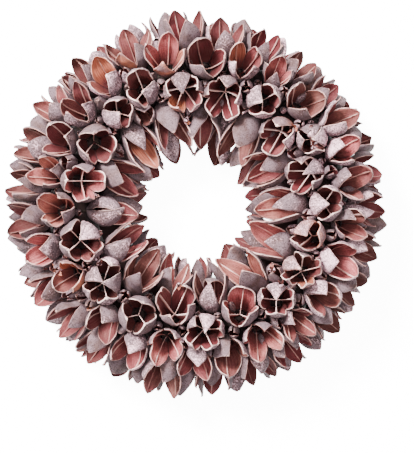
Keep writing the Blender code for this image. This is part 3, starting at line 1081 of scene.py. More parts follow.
    def fit_best_spin(self, pod: Pod, tries: int, trim: Trim) -> None:
        """Turns a pod about its own axis to where it fits largest and widest between its neighbours.

        Args:
            pod: The pod, changed in place.
            tries: How many turns to try.
            trim: The trim of its row, which says how far its valves open at least.
        """
        size, girths, wanted, spin = pod.size, list(pod.girths), list(pod.openings), pod.spin
        found = []
        for number in range(tries):
            pod.size, pod.girths, pod.openings = size, list(girths), list(wanted)
            pod.spin = spin + number * math.tau / (tries * pod.valves)
            pod.place()
            self.fit(pod, trim)
            width = pod.size * (sum(pod.girths) + sum(pod.openings)) / pod.valves
            found.append((width, pod.spin, pod.size, pod.girths, pod.openings))
        _, pod.spin, pod.size, pod.girths, pod.openings = max(found)
        pod.place()


@dataclass(frozen=True)
class Accent:
    """A bare orange-brown valve: where its tip is, seen from above, in mm from the ring's centre."""

    x: float
    y: float
    strength: float = 1.0


ACCENTS = (
    Accent(-56, 106), Accent(-78, 112, 0.8), Accent(-105, -51), Accent(-110, -46, 0.7),
    Accent(66, 56, 0.6), Accent(-9, 64, 0.9), Accent(-15, 104, 0.4), Accent(30, 128, 0.5),
    Accent(58, -42, 0.5),
)


@dataclass(frozen=True)
class Flake:
    """A few bits of broken husk caught between the pods: where they lie, in mm from the ring's centre. The
    pairs are the ranges of the draws, angles in degrees. turned is how far they may be tipped, in radians."""

    x: float
    y: float
    z: float
    size: float = 0.3
    warmth: float = 0.0
    slivers: int = 5
    girths: Pair = (0.5, 1.2)
    openings: Pair = (-25, 80)
    curls: Pair = (-60, 70)
    lengths: Pair = (0.3, 1.3)
    turned: float = 0.7
    blooms: Pair = (0.5, 1.1)
    tapers: Pair = (0.3, 0.9)
    tones: Pair = (0.6, 1.1)
    warm: float = 0.8

    def pod(self, draw: random.Random) -> Pod:
        """Makes the flake as a tiny pod burst wide open.

        Args:
            draw: The source of the random draws.

        Returns:
            The pod.
        """
        each = range(self.slivers)
        made = Pod(
            clock=0.0,
            lean=0.0,
            size=self.size,
            girths=[draw.uniform(*self.girths) for _ in each],
            valves=self.slivers,
            spin=draw.uniform(0, math.tau),
            tilt=Vector((0, 0, 0)),
            openings=[math.radians(draw.uniform(*self.openings)) for _ in each],
            curls=[math.radians(draw.uniform(*self.curls)) for _ in each],
            lengths=[draw.uniform(*self.lengths) for _ in each],
        )
        made.place()
        made.foot = Vector((self.x, self.y, self.z)) * MM
        tip, roll = (Matrix.Rotation(draw.uniform(-self.turned, self.turned), 4, axis) for axis in "XY")
        made.matrix = Matrix.Translation(made.foot) @ (tip @ roll) @ Matrix.Rotation(made.spin, 4, "Z")
        made.blooms = [draw.uniform(*self.blooms) for _ in each]
        made.tapers = [draw.uniform(*self.tapers) for _ in each]
        made.oranges = [self.warmth * draw.uniform(0.0, 1.0) for _ in each]
        made.tone = draw.uniform(*self.tones)
        made.warm = self.warm
        return made


FLAKES = (
    Flake(83, 50, 56, 0.30), Flake(88, 45, 57, 0.24), Flake(-77, -40, 55, 0.24),
    Flake(-73, -45, 54, 0.18, 0.3), Flake(56, -51, 54, 0.22), Flake(60, -61, 55, 0.24),
    Flake(-14, -60, 54, 0.20, 0.7), Flake(-10, 63, 48, 0.22, 1.0), Flake(70, 56, 55, 0.22, 0.8),
    Flake(-105, -50, 44, 0.26, 1.0),
)


@dataclass
class Wardrobe:
    """Gives each pod its own looks: which valves are folded shut, and how red, pale or bare they are.

    The pairs are the ranges of the draws, apart from these: closed_lengths, and the ranges in closed_blooms,
    are for pods that face up and for the others. kept says how much of its own bloom a spot's pod keeps and
    how much of the spot's it takes. rightward is painted light: how much paler outside and darker inside the
    pods on the right are. outward is how much paler outside and lighter inside those that lean away from the
    centre."""

    closed_curl: float = math.radians(12)
    closed: float = math.radians(-17)
    uncurled: float = math.radians(4)
    closed_taper: float = 0.6
    closed_curls: Pair = (0.85, 1.15)
    closed_turns: Pair = (0.8, 1.2)
    closed_lengths: Pair = (1.08, 0.85)
    closed_blooms: tuple[Pair, Pair] = ((0.4, 0.85), (0.2, 0.6))
    facing_up: float = math.radians(20)
    wide: float = math.radians(16)
    nodding: float = math.radians(20)
    nods: Pair = (0.2, 1.0)
    nod_tapers: Pair = (0.7, 0.95)
    nod_blooms: Pair = (0.0, 0.12)
    bare_share: float = 0.01
    bare: float = 0.5
    warmths: Pair = (0.0, 0.8)
    pod_blooms: Pair = (-0.25, 0.5)
    valve_blooms: Pair = (-0.1, 0.55)
    hidden: float = 0.12
    tones: Pair = (-0.05, 0.50)
    spot_tones: Pair = (-0.05, 0.05)
    kept: Pair = (0.7, 0.5)
    rightward_light: Pair = (0.12, 0.15)
    outward: Pair = (0.4, 0.3)
    accent_level: float = 0.9
    seed: int = 5

    def dress(self, grown: list[tuple[Row, Pod, Spot | None]]) -> None:
        """Dresses every pod.

        Args:
            grown: The pods, changed in place, each with its row and its spot.
        """
        draw = random.Random(self.seed)
        for _, pod, spot in grown:
            side = math.sin(pod.clock)
            pod.oranges = [self.bare if draw.random() < self.bare_share else 0.0 for _ in range(pod.valves)]
            pod.tapers = [1.0] * pod.valves
            pod.warm = draw.uniform(*self.warmths)
            shared = draw.uniform(*self.pod_blooms) - (0.0 if spot else self.hidden)
            # painted light: the pods on the right are paler outside and darker inside
            shared += self.rightward_light[0] * side
            pod.blooms = [shared + draw.uniform(*self.valve_blooms) for _ in range(pod.valves)]
            pod.tone = draw.uniform(*self.tones) - self.rightward_light[1] * side
            if pod.lean > self.facing_up:
                self.nod(pod, draw)
            if spot:
                self.dress_spot(pod, spot, draw)

    def nod(self, pod: Pod, draw: random.Random) -> None:
        """Bends the upper valve of a pod that faces away from the centre over its mouth.

        Args:
            pod: The pod, changed in place.
            draw: The source of the random draws.
        """
        valve = pod.valve_towards(math.degrees(pod.clock) + 180)
        pod.openings[valve] -= draw.uniform(*self.nods) * self.nodding
        pod.curls[valve] = draw.uniform(0, 1) * self.uncurled
        pod.tapers[valve] = draw.uniform(*self.nod_tapers)
        pod.blooms[valve] += draw.uniform(*self.nod_blooms)

    def accent(self, pods: list[Pod]) -> None:
        """Bares the valves that stand out in orange.

        Args:
            pods: All pods, changed in place.
        """
        tips = []
        for pod in pods:
            tips += [(pod.point(valve, 0.0, self.accent_level), pod, valve) for valve in range(pod.valves)]
        for accent in ACCENTS:
            aim = Vector((accent.x, accent.y)) * MM
            _, pod, valve = min(tips, key=lambda tip: (tip[0].xy - aim).length)
            pod.oranges[valve] = accent.strength

    def dress_spot(self, pod: Pod, spot: Spot, draw: random.Random) -> None:
        """Dresses a pod that stands out by itself.

        Args:
            pod: The pod, changed in place.
            spot: What stands out in it.
            draw: The source of the random draws.
        """
        (own, given), (paler, lighter) = self.kept, self.outward
        pod.tone = spot.inside.value + draw.uniform(*self.spot_tones)
        pod.blooms = [bloom * own + spot.bloom * given + paler * math.sin(pod.lean) for bloom in pod.blooms]
        pod.tone += lighter * max(0.0, math.sin(pod.lean))
        place = 0 if abs(pod.lean) < self.facing_up else 1
        if spot.curled:
            pod.curls = [min(curl, self.uncurled) for curl in pod.curls]
        for direction in spot.curled:
            valve = pod.valve_towards(direction)
            pod.curls[valve] = self.closed_curl * draw.uniform(*self.closed_curls)
            pod.openings[valve] = self.closed * draw.uniform(*self.closed_turns)
            pod.tapers[valve] = self.closed_taper
            pod.lengths[valve] *= self.closed_lengths[place]
            pod.blooms[valve] = draw.uniform(*self.closed_blooms[place])
        for direction in spot.wide:
            pod.openings[pod.valve_towards(direction)] += self.wide
        for direction in spot.orange:
            pod.oranges[pod.valve_towards(direction)] = 1.0


@dataclass
class GeometryTree:
    """A Geometry Nodes tree under way, with named inputs."""

    name: str

    def __post_init__(self) -> None:
        """Starts an empty tree with a geometry passing in and out."""
        self.tree = bpy.data.node_groups.new(self.name, "GeometryNodeTree")
        self.tree.interface.new_socket("Geometry", in_out="OUTPUT", socket_type="NodeSocketGeometry")
        self.add_input("Geometry", "Geometry")
        self.graph = Graph(self.tree)
        self.entry = self.tree.nodes.new("NodeGroupInput")

    def add_input(self, name: str, kind: str, value: Any = None) -> None:
        """Adds a named input.

        Args:
            name: Its name.
            kind: Its kind, such as Float.
            value: Its default value, if it has one.
        """
        item = self.tree.interface.new_socket(name, in_out="INPUT", socket_type="NodeSocket" + kind)
        if value is not None:
            item.default_value = value

    def input(self, name: str) -> Socket:
        """A named input's value inside the tree."""
        return self.graph.out(self.entry, name)

    def attribute(self, name: str, kind: str = "FLOAT") -> Socket:
        """A named attribute's value inside the tree."""
        made = self.graph.node("GeometryNodeInputNamedAttribute", {"data_type": kind}, {"Name": name})
        return self.graph.out(made, "Attribute")

    def store(self, geometry: Socket, values: dict[str, Any]) -> Socket:
        """Keeps numbers on the points of a geometry.

        Args:
            geometry: The geometry.
            values: The numbers by name.

        Returns:
            The geometry with them.
        """
        for name, value in values.items():
            sockets = {"Geometry": geometry, "Name": name, "Value": value}
            made = self.graph.node("GeometryNodeStoreNamedAttribute", {"data_type": "FLOAT"}, sockets)
            geometry = self.graph.out(made)
        return geometry

    def place(self, geometry: Socket, position: Socket) -> Socket:
        """Sets where the points of a geometry lie."""
        made = self.graph.node("GeometryNodeSetPosition", None, {"Geometry": geometry, "Position": position})
        return self.graph.out(made)

    def close(self, geometry: Socket, finish: Socket) -> None:
        """Ends the tree: smooth faces, no instances left, and its material.

        Args:
            geometry: What the tree has made.
            finish: The material.
        """
        smooth = self.graph.node("GeometryNodeSetShadeSmooth", None, {"Geometry": geometry})
        real = self.graph.node("GeometryNodeRealizeInstances", None, {"Geometry": self.graph.out(smooth)})
        sockets = {"Geometry": self.graph.out(real), "Material": finish}
        dressed = self.graph.node("GeometryNodeSetMaterial", None, sockets)
        self.graph.node("NodeGroupOutput", None, {"Geometry": self.graph.out(dressed)})

    def grow(self, name: str, start: bpy.types.Mesh, values: dict[str, Any]) -> bpy.types.Object:
        """Runs the tree on a mesh and keeps what comes out as a plain mesh.

        Args:
            name: The new object's name.
            start: The mesh that goes in.
            values: The inputs to set, by name.

        Returns:
            The new object, at the origin.
        """
        holder = bpy.data.objects.new(name + "_start", start)
        bpy.context.scene.collection.objects.link(holder)
        modifier = holder.modifiers.new("grow", "NODES")
        modifier.node_group = self.tree
        for item in self.tree.interface.items_tree:
            if item.in_out == "INPUT" and item.name in values:
                modifier[item.identifier] = values[item.name]
        bpy.context.view_layer.update()
        graph = bpy.context.evaluated_depsgraph_get()
        mesh = bpy.data.meshes.new_from_object(holder.evaluated_get(graph), depsgraph=graph)
        holder.modifiers.remove(modifier)
        bpy.data.objects.remove(holder)
        mesh.name = name
        made = bpy.data.objects.new(name, mesh)
        bpy.context.scene.collection.objects.link(made)
        return made


def points_mesh(name: str, count: int, numbers: dict[str, list[float]]) -> bpy.types.Mesh:
    """A mesh of loose points at the origin, one for each thing to be repeated.

    Args:
        name: The mesh's name.
        count: How many points it has.
        numbers: The values that each point holds: 1 number a point, 3 for a vector or 4 for a turn.

    Returns:
        The mesh.
    """
    mesh = bpy.data.meshes.new(name)
    mesh.vertices.add(count)
    for key, values in numbers.items():
        kind, target = {1: ("FLOAT", "value"), 3: ("FLOAT_VECTOR", "vector"), 4: ("QUATERNION", "value")}[
            len(values) // count
        ]
        mesh.attributes.new(key, kind, "POINT").data.foreach_set(target, values)
    return mesh


@dataclass
class PodTree(GeometryTree):
    """Grows whole pods out of one point for each valve: a boat-shaped valve and the fin down its middle.

    Each is a tube bent from a blank. The levels say where a valve starts on its outer and inner face and
    where it ends. The surface, crinkle and fray scales are waves across and along a valve."""

    name: str = "pods"
    columns: int = 24
    rows: int = 22
    fin_columns: int = 12
    fin_rows: int = 9
    fin_wall: float = 0.72 * MM
    fin_foot: float = 0.04
    fin_depth: float = 0.7
    fin_thinning: float = 0.45
    fin_drop: float = 0.97
    fin_outer: float = 0.94
    fin_across: float = 0.3
    axis_gap: float = 0.2 * MM
    foot_level: float = 0.04
    floor_level: float = 0.15
    last_level: float = 0.995
    crowding: float = 1.35
    flatness: float = 4.0
    fold_span: float = 0.34
    least_radius: float = 0.3 * MM
    dent: float = 2.7 * MM
    dent_middle: float = 0.75
    dent_levels: Pair = (0.1, 0.4)
    surface: Pair = (1.7, 2.4)
    crinkle: float = 1.5 * MM
    crinkle_scale: float = 3.4
    crinkle_levels: Pair = (0.3, 0.6)
    ragged: float = 0.16
    fray: Pair = (0.5, 9)
    fray_levels: Pair = (0.1, 0.5)

    def build(self) -> "PodTree":
        """Builds the tree, with the sizes that a maker would change as its inputs.

        Returns:
            The tree itself.
        """
        self.add_input("Fin Wall", "Float", self.fin_wall)
        self.add_input("Dent", "Float", self.dent)
        self.add_input("Crinkle", "Float", self.crinkle)
        self.add_input("Rows", "Int", self.rows)
        self.add_input("Columns", "Int", self.columns)
        self.add_input("Finish", "Material")
        g = self.graph
        valves = self.blank(self.input("Columns"), self.input("Rows"))
        valves = self.repeat(self.store(valves, self.valve_stations()))
        valves = self.place(valves, self.valve_position())
        fins = self.blank(self.fin_columns, self.fin_rows)
        fins = self.repeat(self.store(fins, self.fin_stations()))
        fins = self.place(fins, self.fin_position())
        fins = self.store(fins, {"level": self.fin_level(), "across": self.fin_across})
        both = g.out(g.node("GeometryNodeJoinGeometry", None, {"Geometry": [fins, valves]}))
        self.close(both, self.input("Finish"))
        return self

    def blank(self, columns: Any, rows: Any) -> Socket:
        """Makes the blank that a valve or a fin is bent from.

        Args:
            columns: How many faces there are round it.
            rows: How many along it.

        Returns:
            A closed tube.
        """
        sockets = {"Vertices": columns, "Side Segments": rows, "Radius": 1.0, "Depth": 1.0}
        made = self.graph.node("GeometryNodeMeshCylinder", {"fill_type": "TRIANGLE_FAN"}, sockets)
        return self.graph.out(made, "Mesh")

    def repeat(self, blank: Socket) -> Socket:
        """Repeats a blank.

        Args:
            blank: The blank of a valve or a fin.

        Returns:
            One real copy for each valve, with the valve's own numbers on all its points.
        """
        sockets = {"Points": self.input("Geometry"), "Instance": blank}
        copies = self.graph.out(self.graph.node("GeometryNodeInstanceOnPoints", None, sockets))
        return self.graph.out(self.graph.node("GeometryNodeRealizeInstances", None, {"Geometry": copies}))

    def stations(self) -> tuple[Socket, Socket, Socket]:
        """Reads a blank's own coordinates.

        Returns:
            Which face a point is on, from -1 to 1, how far across, and how far along from 0 to 1.
        """
        g = self.graph
        x, y, z = g.split(g.out(g.node("GeometryNodeInputPosition")))
        face = g.math("MINIMUM", g.math("MAXIMUM", x * self.flatness, -1.0), 1.0)
        return face, y, z + 0.5

    def valve_stations(self) -> dict[str, Any]:
        """Finds where on a valve each point of its blank lies.

        Returns:
            How far across and along the valve and how deep in its wall, by the attribute's name.
        """
        face, across, rise = self.stations()
        depth = 0.5 - face * 0.5
        low = self.foot_level + (self.floor_level - self.foot_level) * depth
        level = low + (self.last_level - low) * (1 - (1 - rise) ** self.crowding)
        return {"across": across, "depth": depth, "level": level, "fin": 0.0}

    def fin_stations(self) -> dict[str, Any]:
        """Where on a fin each point of its blank lies: which side, how high and how far in."""
        face, up, inward = self.stations()
        return {"side": -1 * face, "crest": up * 0.5 + 0.5, "inward": inward, "depth": 1.0, "fin": 1.0}

    def bent(self, across: Any, level: Any, depth: Any) -> tuple[Socket, Socket, Socket]:
        """Bends a valve's point to shape, before the pod is placed.

        Args:
            across: From -1 to 1 between the valve's edges.
            level: From 0 at the foot to 1 at the tip.
            depth: From 0 at the wall's outer face to 1 at its inner face.

        Returns:
            How far the point is along the valve's direction, aside from it, and up.
        """
        g = self.graph
        length, seed = self.attribute("length"), self.attribute("seed")
        right, left = g.math("MAXIMUM", across, 0.0), g.math("MINIMUM", across, 0.0)
        girth = self.attribute("girth") + self.attribute("girth_on") * right * right
        girth = girth + self.attribute("girth_back") * left * left
        above = g.math("MAXIMUM", (level - FORM.split_level) / (1 - FORM.split_level), 0.0)
        slit = 1 - FORM.slit_share * g.math("MINIMUM", above * FORM.slit_rate, 1.0)
        surface = g.combine(across * self.surface[0], level * self.surface[1], 0.0)
        dent = g.noise(surface, 1.0, 2.5, seed) - self.dent_middle
        crinkle = g.noise(surface, self.crinkle_scale, 2.0, seed + 7.0) - 0.5
        fray = g.noise(g.combine(across * self.fray[0], level * self.fray[1], 3.0), 1.0, 3, seed) - 0.5
        taper = g.math("MAXIMUM", 1 - above ** self.attribute("taper"), 0.0) ** FORM.roundness
        taper = taper * (1 + fray * self.ragged * g.rise(above, *self.fray_levels))
        angle = across * self.attribute("half_angle") * slit * taper + self.attribute("skew") * above * above
        radius = girth * FORM.shell(level) + dent * self.input("Dent") * g.rise(level, *self.dent_levels)
        radius = radius + crinkle * self.input("Crinkle") * g.rise(level, *self.crinkle_levels)
        radius = g.math("MAXIMUM", radius - depth * self.attribute("wall"), self.least_radius)
        along, aside = radius * g.math("COSINE", angle), radius * g.math("SINE", angle)
        lower = g.math("MINIMUM", level, FORM.split_level)
        height = FORM.length * (lower + g.math("MAXIMUM", level - FORM.split_level, 0.0) * length)
        curl = self.attribute("curl") * g.rise(level, FORM.curl_level, FORM.curl_level + self.fold_span) * -1
        opening = self.attribute("opening")
        opening = opening * g.rise(level, FORM.split_level, FORM.split_level + FORM.bend_span)
        for hinge, bend in ((FORM.curl_level, curl), (FORM.split_level, opening)):
            hinge_along = girth * (FORM.hinge_share * FORM.shell(hinge))
            reach, climb = along - hinge_along, height - FORM.length * hinge
            cosine, sine = g.math("COSINE", bend), g.math("SINE", bend)
            along = hinge_along + reach * cosine + climb * sine
            height = FORM.length * hinge - reach * sine + climb * cosine
        return along, aside, height

    def standing(self, along: Any, aside: Any, height: Any) -> Socket:
        """Moves a valve's point to where the pod stands on the wreath.

        Args:
            along: How far it is along the valve's direction.
            aside: How far aside from it.
            height: How far up the pod.

        Returns:
            The point on the wreath.
        """
        g = self.graph
        sockets = {0: g.combine(along, aside, height), "Scale": self.attribute("size")}
        scaled = g.out(g.node("ShaderNodeVectorMath", {"operation": "SCALE"}, sockets))
        sockets = {"Vector": scaled, "Rotation": self.attribute("turn", "QUATERNION")}
        turned = g.out(g.node("FunctionNodeRotateVector", None, sockets))
        return g.vector_math("ADD", turned, self.attribute("foot", "FLOAT_VECTOR"))

    def valve_position(self) -> Socket:
        """Where the points of the valves lie on the wreath."""
        return self.standing(*self.bent(*(self.attribute(name) for name in ("across", "level", "depth"))))

    def fin_level(self) -> Socket:
        """Finds the level of a fin's point: its top edge falls in a hollow curve to the pod's middle.

        Returns:
            The level.
        """
        top = self.attribute("fin_top")
        fall = (1 - self.attribute("inward")) ** self.attribute("hollow")
        top = top + (self.fin_outer - top) * fall
        low = self.floor_level - self.fin_foot
        return low + (top - low) * self.attribute("crest")

    def fin_position(self) -> Socket:
        """Places the points of the fins, between the valve's middle and the pod's own axis.

        Returns:
            Where they lie on the wreath.
        """
        level, inward = self.fin_level(), self.attribute("inward")
        along, aside, height = self.bent(0.0, level, self.fin_depth)
        middle = FORM.length * level * self.fin_drop
        along = along + (self.axis_gap - along) * inward
        height = height + (middle - height) * inward
        wall = self.input("Fin Wall") * 0.5 * (1 - inward * self.fin_thinning)
        return self.standing(along, aside + self.attribute("side") * wall, height)


@dataclass
class PodRow:
    """The pods of one row as one piece, in place of the row's CAD nodes. The pairs are the ranges of the
    draws."""

    row: Row
    pods: list[Pod]
    centre: Vector
    seed: int
    crowded: int = 5
    fin_lowering: float = 0.10
    fin_opening: float = 0.4
    fin_tops: Pair = (-0.30, 0.08)
    fin_slack: Pair = (-0.04, 0.04)
    lengths: Pair = (0.94, 1.02)
    skews: Pair = (-0.10, 0.10)
    tapers: Pair = (0.8, 1.2)
    warmths: Pair = (-0.25, 0.25)
    pales: Pair = (0.7, 1.3)
    most_keel: float = 1.35
    tones: Pair = (-0.08, 0.08)

    def valve_numbers(self) -> tuple[int, dict[str, list[float]]]:
        """What the tree needs to know of each valve.

        Returns:
            How many valves there are, and their numbers by name.
        """
        draw = random.Random(self.seed)
        trim = self.row.trim
        numbers: dict[str, list[float]] = {}
        count = 0
        for pod in self.pods:
            open_share = sum(pod.openings) / pod.valves
            few = 0.0 if pod.valves == self.crowded else self.fin_lowering
            fin_top = trim.fin - few + draw.uniform(*self.fin_tops) - self.fin_opening * max(0.0, open_share)
            for valve in range(pod.valves):
                count += 1
                values = {
                    "foot": tuple(pod.foot + self.centre),
                    "turn": tuple(pod.valve_turn(valve).to_quaternion()),
                    "size": pod.size,
                    "girth": pod.girths[valve],
                    "girth_on": pod.edge_girth(valve, 1) - pod.girths[valve],
                    "girth_back": pod.edge_girth(valve, -1) - pod.girths[valve],
                    "half_angle": math.pi / pod.valves,
                    "opening": pod.openings[valve],
                    "curl": pod.curls[valve],
                    "length": pod.lengths[valve] * draw.uniform(*self.lengths),
                    "skew": draw.uniform(*self.skews),
                    "fin_top": fin_top + draw.uniform(*self.fin_slack),
                    "hollow": trim.hollow,
                    "taper": trim.taper * draw.uniform(*self.tapers) * pod.tapers[valve],
                    "warm": min(1.0, max(0.0, pod.warm + draw.uniform(*self.warmths))),
                    "wall": trim.wall,
                    "pale": trim.pale * draw.uniform(*self.pales),
                    "keel": trim.pale * draw.uniform(trim.fin, self.most_keel),
                    "tone": pod.tone + trim.tone + draw.uniform(*self.tones),
                    "bloom": pod.blooms[valve],
                    "orange": pod.oranges[valve],
                    "seed": draw.uniform(0, 100),
                }
                for name, value in values.items():
                    numbers.setdefault(name, []).extend(value if isinstance(value, tuple) else [value])
        return count, numbers

    def build(self, tree: PodTree, husk: bpy.types.Material, fineness: dict[str, int]) -> bpy.types.Object:
        """Grows the row's valves.

        Args:
            tree: The tree that grows pods.
            husk: Their material.
            fineness: The numbers of rows and columns of faces, if not the tree's own.

        Returns:
            The row as one piece.
        """
        count, numbers = self.valve_numbers()
        start = points_mesh(self.row.name + "_valves", count, numbers)
        piece = tree.grow(self.row.name + "_pods", start, {"Finish": husk, **fineness})
        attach(piece, "root")
        LOG.info("%s: %d pods with %d valves", piece.name, len(self.pods), count)
        return piece


@dataclass
class SmallBuds:
    """Smaller, hardly open pods in the gaps between the large ones.

    What lies under the seen stations and levels of a pod is hidden, and so is what lies between them and its
    axis, which is looked at in steps. The wall ones are the points that a bud keeps off. The pairs are the
    ranges of the draws."""

    layout: Layout
    row: Row = Row("bud", (-8, 4), 0, POINTED)
    most: int = 90
    least_room: float = 1.6 * MM
    press: float = 2.0 * MM
    cell: float = 2.0 * MM
    reach: float = 40 * MM
    apart: float = 8 * MM
    lying: float = math.radians(58)
    lying_size: float = 1.05
    least_size: float = 0.72
    size_growth: float = 0.08
    most_aside: float = 0.99
    inner_edge: float = 58 * MM
    outer_edge: float = 136 * MM
    first_girth: float = 0.85
    most_tilt: float = 0.06
    lengths: Pair = (0.9, 1.1)
    valve_counts: tuple[int, ...] = (3, 3, 4)
    seen_levels: tuple[float, ...] = (0.3, 0.45, 0.6, 0.7, 0.8, 0.9, 1.0)
    seen_stations: tuple[float, ...] = (-1, -0.75, -0.5, -0.25, 0, 0.25, 0.5, 0.75)
    steps: int = 8
    wall_levels: tuple[float, ...] = (0.3, 0.45, 0.6)
    wall_stations: tuple[float, ...] = (-1, -0.5, 0, 0.5)
    floor_levels: tuple[float, ...] = (0.3, 0.5, 0.7, 0.9, 1.0)
    lifting: float = 0.98
    seed: int = 3

    def gaps(self, pods: list[Pod]) -> list[tuple[float, float, float]]:
        """Finds where the ring base would be seen from above.

        Args:
            pods: The large pods.

        Returns:
            For each gap, the widest first, the clock angle, the lean and the size of a pod that fills it.
        """
        seen = []
        shares = [step / self.steps for step in range(1, self.steps + 1)]
        for pod in pods:
            for level in self.seen_levels:
                middle = (pod.foot + pod.axis * (FORM.length * pod.size * level)).xy
                for valve in range(pod.valves):
                    for across in self.seen_stations:
                        point = pod.point(valve, across, level).xy
                        seen += [middle.lerp(point, share) for share in shares]
        taken = {tuple(cell) for cell in np.round(np.array(seen) / self.cell).astype(int).tolist()}
        covered = np.array(sorted(taken)) * self.cell
        steps = np.arange(-self.outer_edge, self.outer_edge, self.cell)
        x, y = (grid.ravel() for grid in np.meshgrid(steps, steps))
        distance = np.hypot(x, y)
        spots = np.stack([x, y], 1)[(distance > self.inner_edge) & (distance < self.outer_edge)]
        room = np.array([np.hypot(*(covered - spot).T).min() for spot in spots])
        found = []
        for _ in range(self.most):
            best = int(room.argmax())
            if room[best] < self.least_room:
                break
            x, y = spots[best]
            aside = (math.hypot(x, y) - RING.radius) / self.reach
            lean = math.asin(min(self.most_aside, max(-self.most_aside, aside)))
            size = min(1.0, self.least_size + self.size_growth * (room[best] - self.least_room) / MM)
            if abs(lean) > self.lying:
                size = self.lying_size
            found.append((math.atan2(x, y) % math.tau, lean, size))
            room = np.minimum(room, np.hypot(*(spots - spots[best]).T) - self.apart)
        return found

    def grow(self, pods: list[Pod]) -> list[Pod]:
        """Fills the gaps, with pods as large as those round them leave room for.

        Args:
            pods: The large pods.

        Returns:
            The small pods.
        """
        draw = random.Random(self.seed)
        buds: list[Pod] = []
        for clock, lean, size in self.gaps(pods):
            valves = draw.choice(self.valve_counts)
            bud = Pod(
                clock=clock,
                lean=lean,
                size=size,
                girths=[self.first_girth] * valves,
                valves=valves,
                spin=draw.uniform(0, math.tau),
                tilt=Vector([draw.uniform(-self.most_tilt, self.most_tilt) for _ in range(3)]),
                openings=[math.radians(draw.uniform(*self.row.opening)) for _ in range(valves)],
                curls=[0.0] * valves,
                lengths=[draw.uniform(*self.lengths) for _ in range(valves)],
            )
            bud.place()
            self.lift(bud)
            self.wall_in(bud, pods + buds)
            self.layout.fit(bud, self.row.trim)
            self.layout.lower(bud)
            buds.append(bud)
        return buds

    def lift(self, bud: Pod) -> None:
        """Turns a bud up until it is clear of the floor.

        Args:
            bud: The bud, changed in place.
        """
        stations = [(valve, level) for valve in range(bud.valves) for level in self.floor_levels]
        while min(bud.point(valve, 0.0, level).z for valve, level in stations) < self.layout.floor_gap * 2:
            bud.lean *= self.lifting
            bud.place()

    def wall_in(self, bud: Pod, others: list[Pod]) -> None:
        """Gives a bud planes that keep it off the pods round it.

        Args:
            bud: The bud, changed in place.
            others: The pods round it.
        """
        for other in others:
            between, normal = bud.parting(other)
            if between.length > self.layout.neighbour_reach:
                continue
            nearest = min(
                normal.dot(other.point(valve, across, level))
                for valve in range(other.valves)
                for across in self.wall_stations
                for level in self.wall_levels
            )
            bud.walls.append((normal, nearest + self.press))


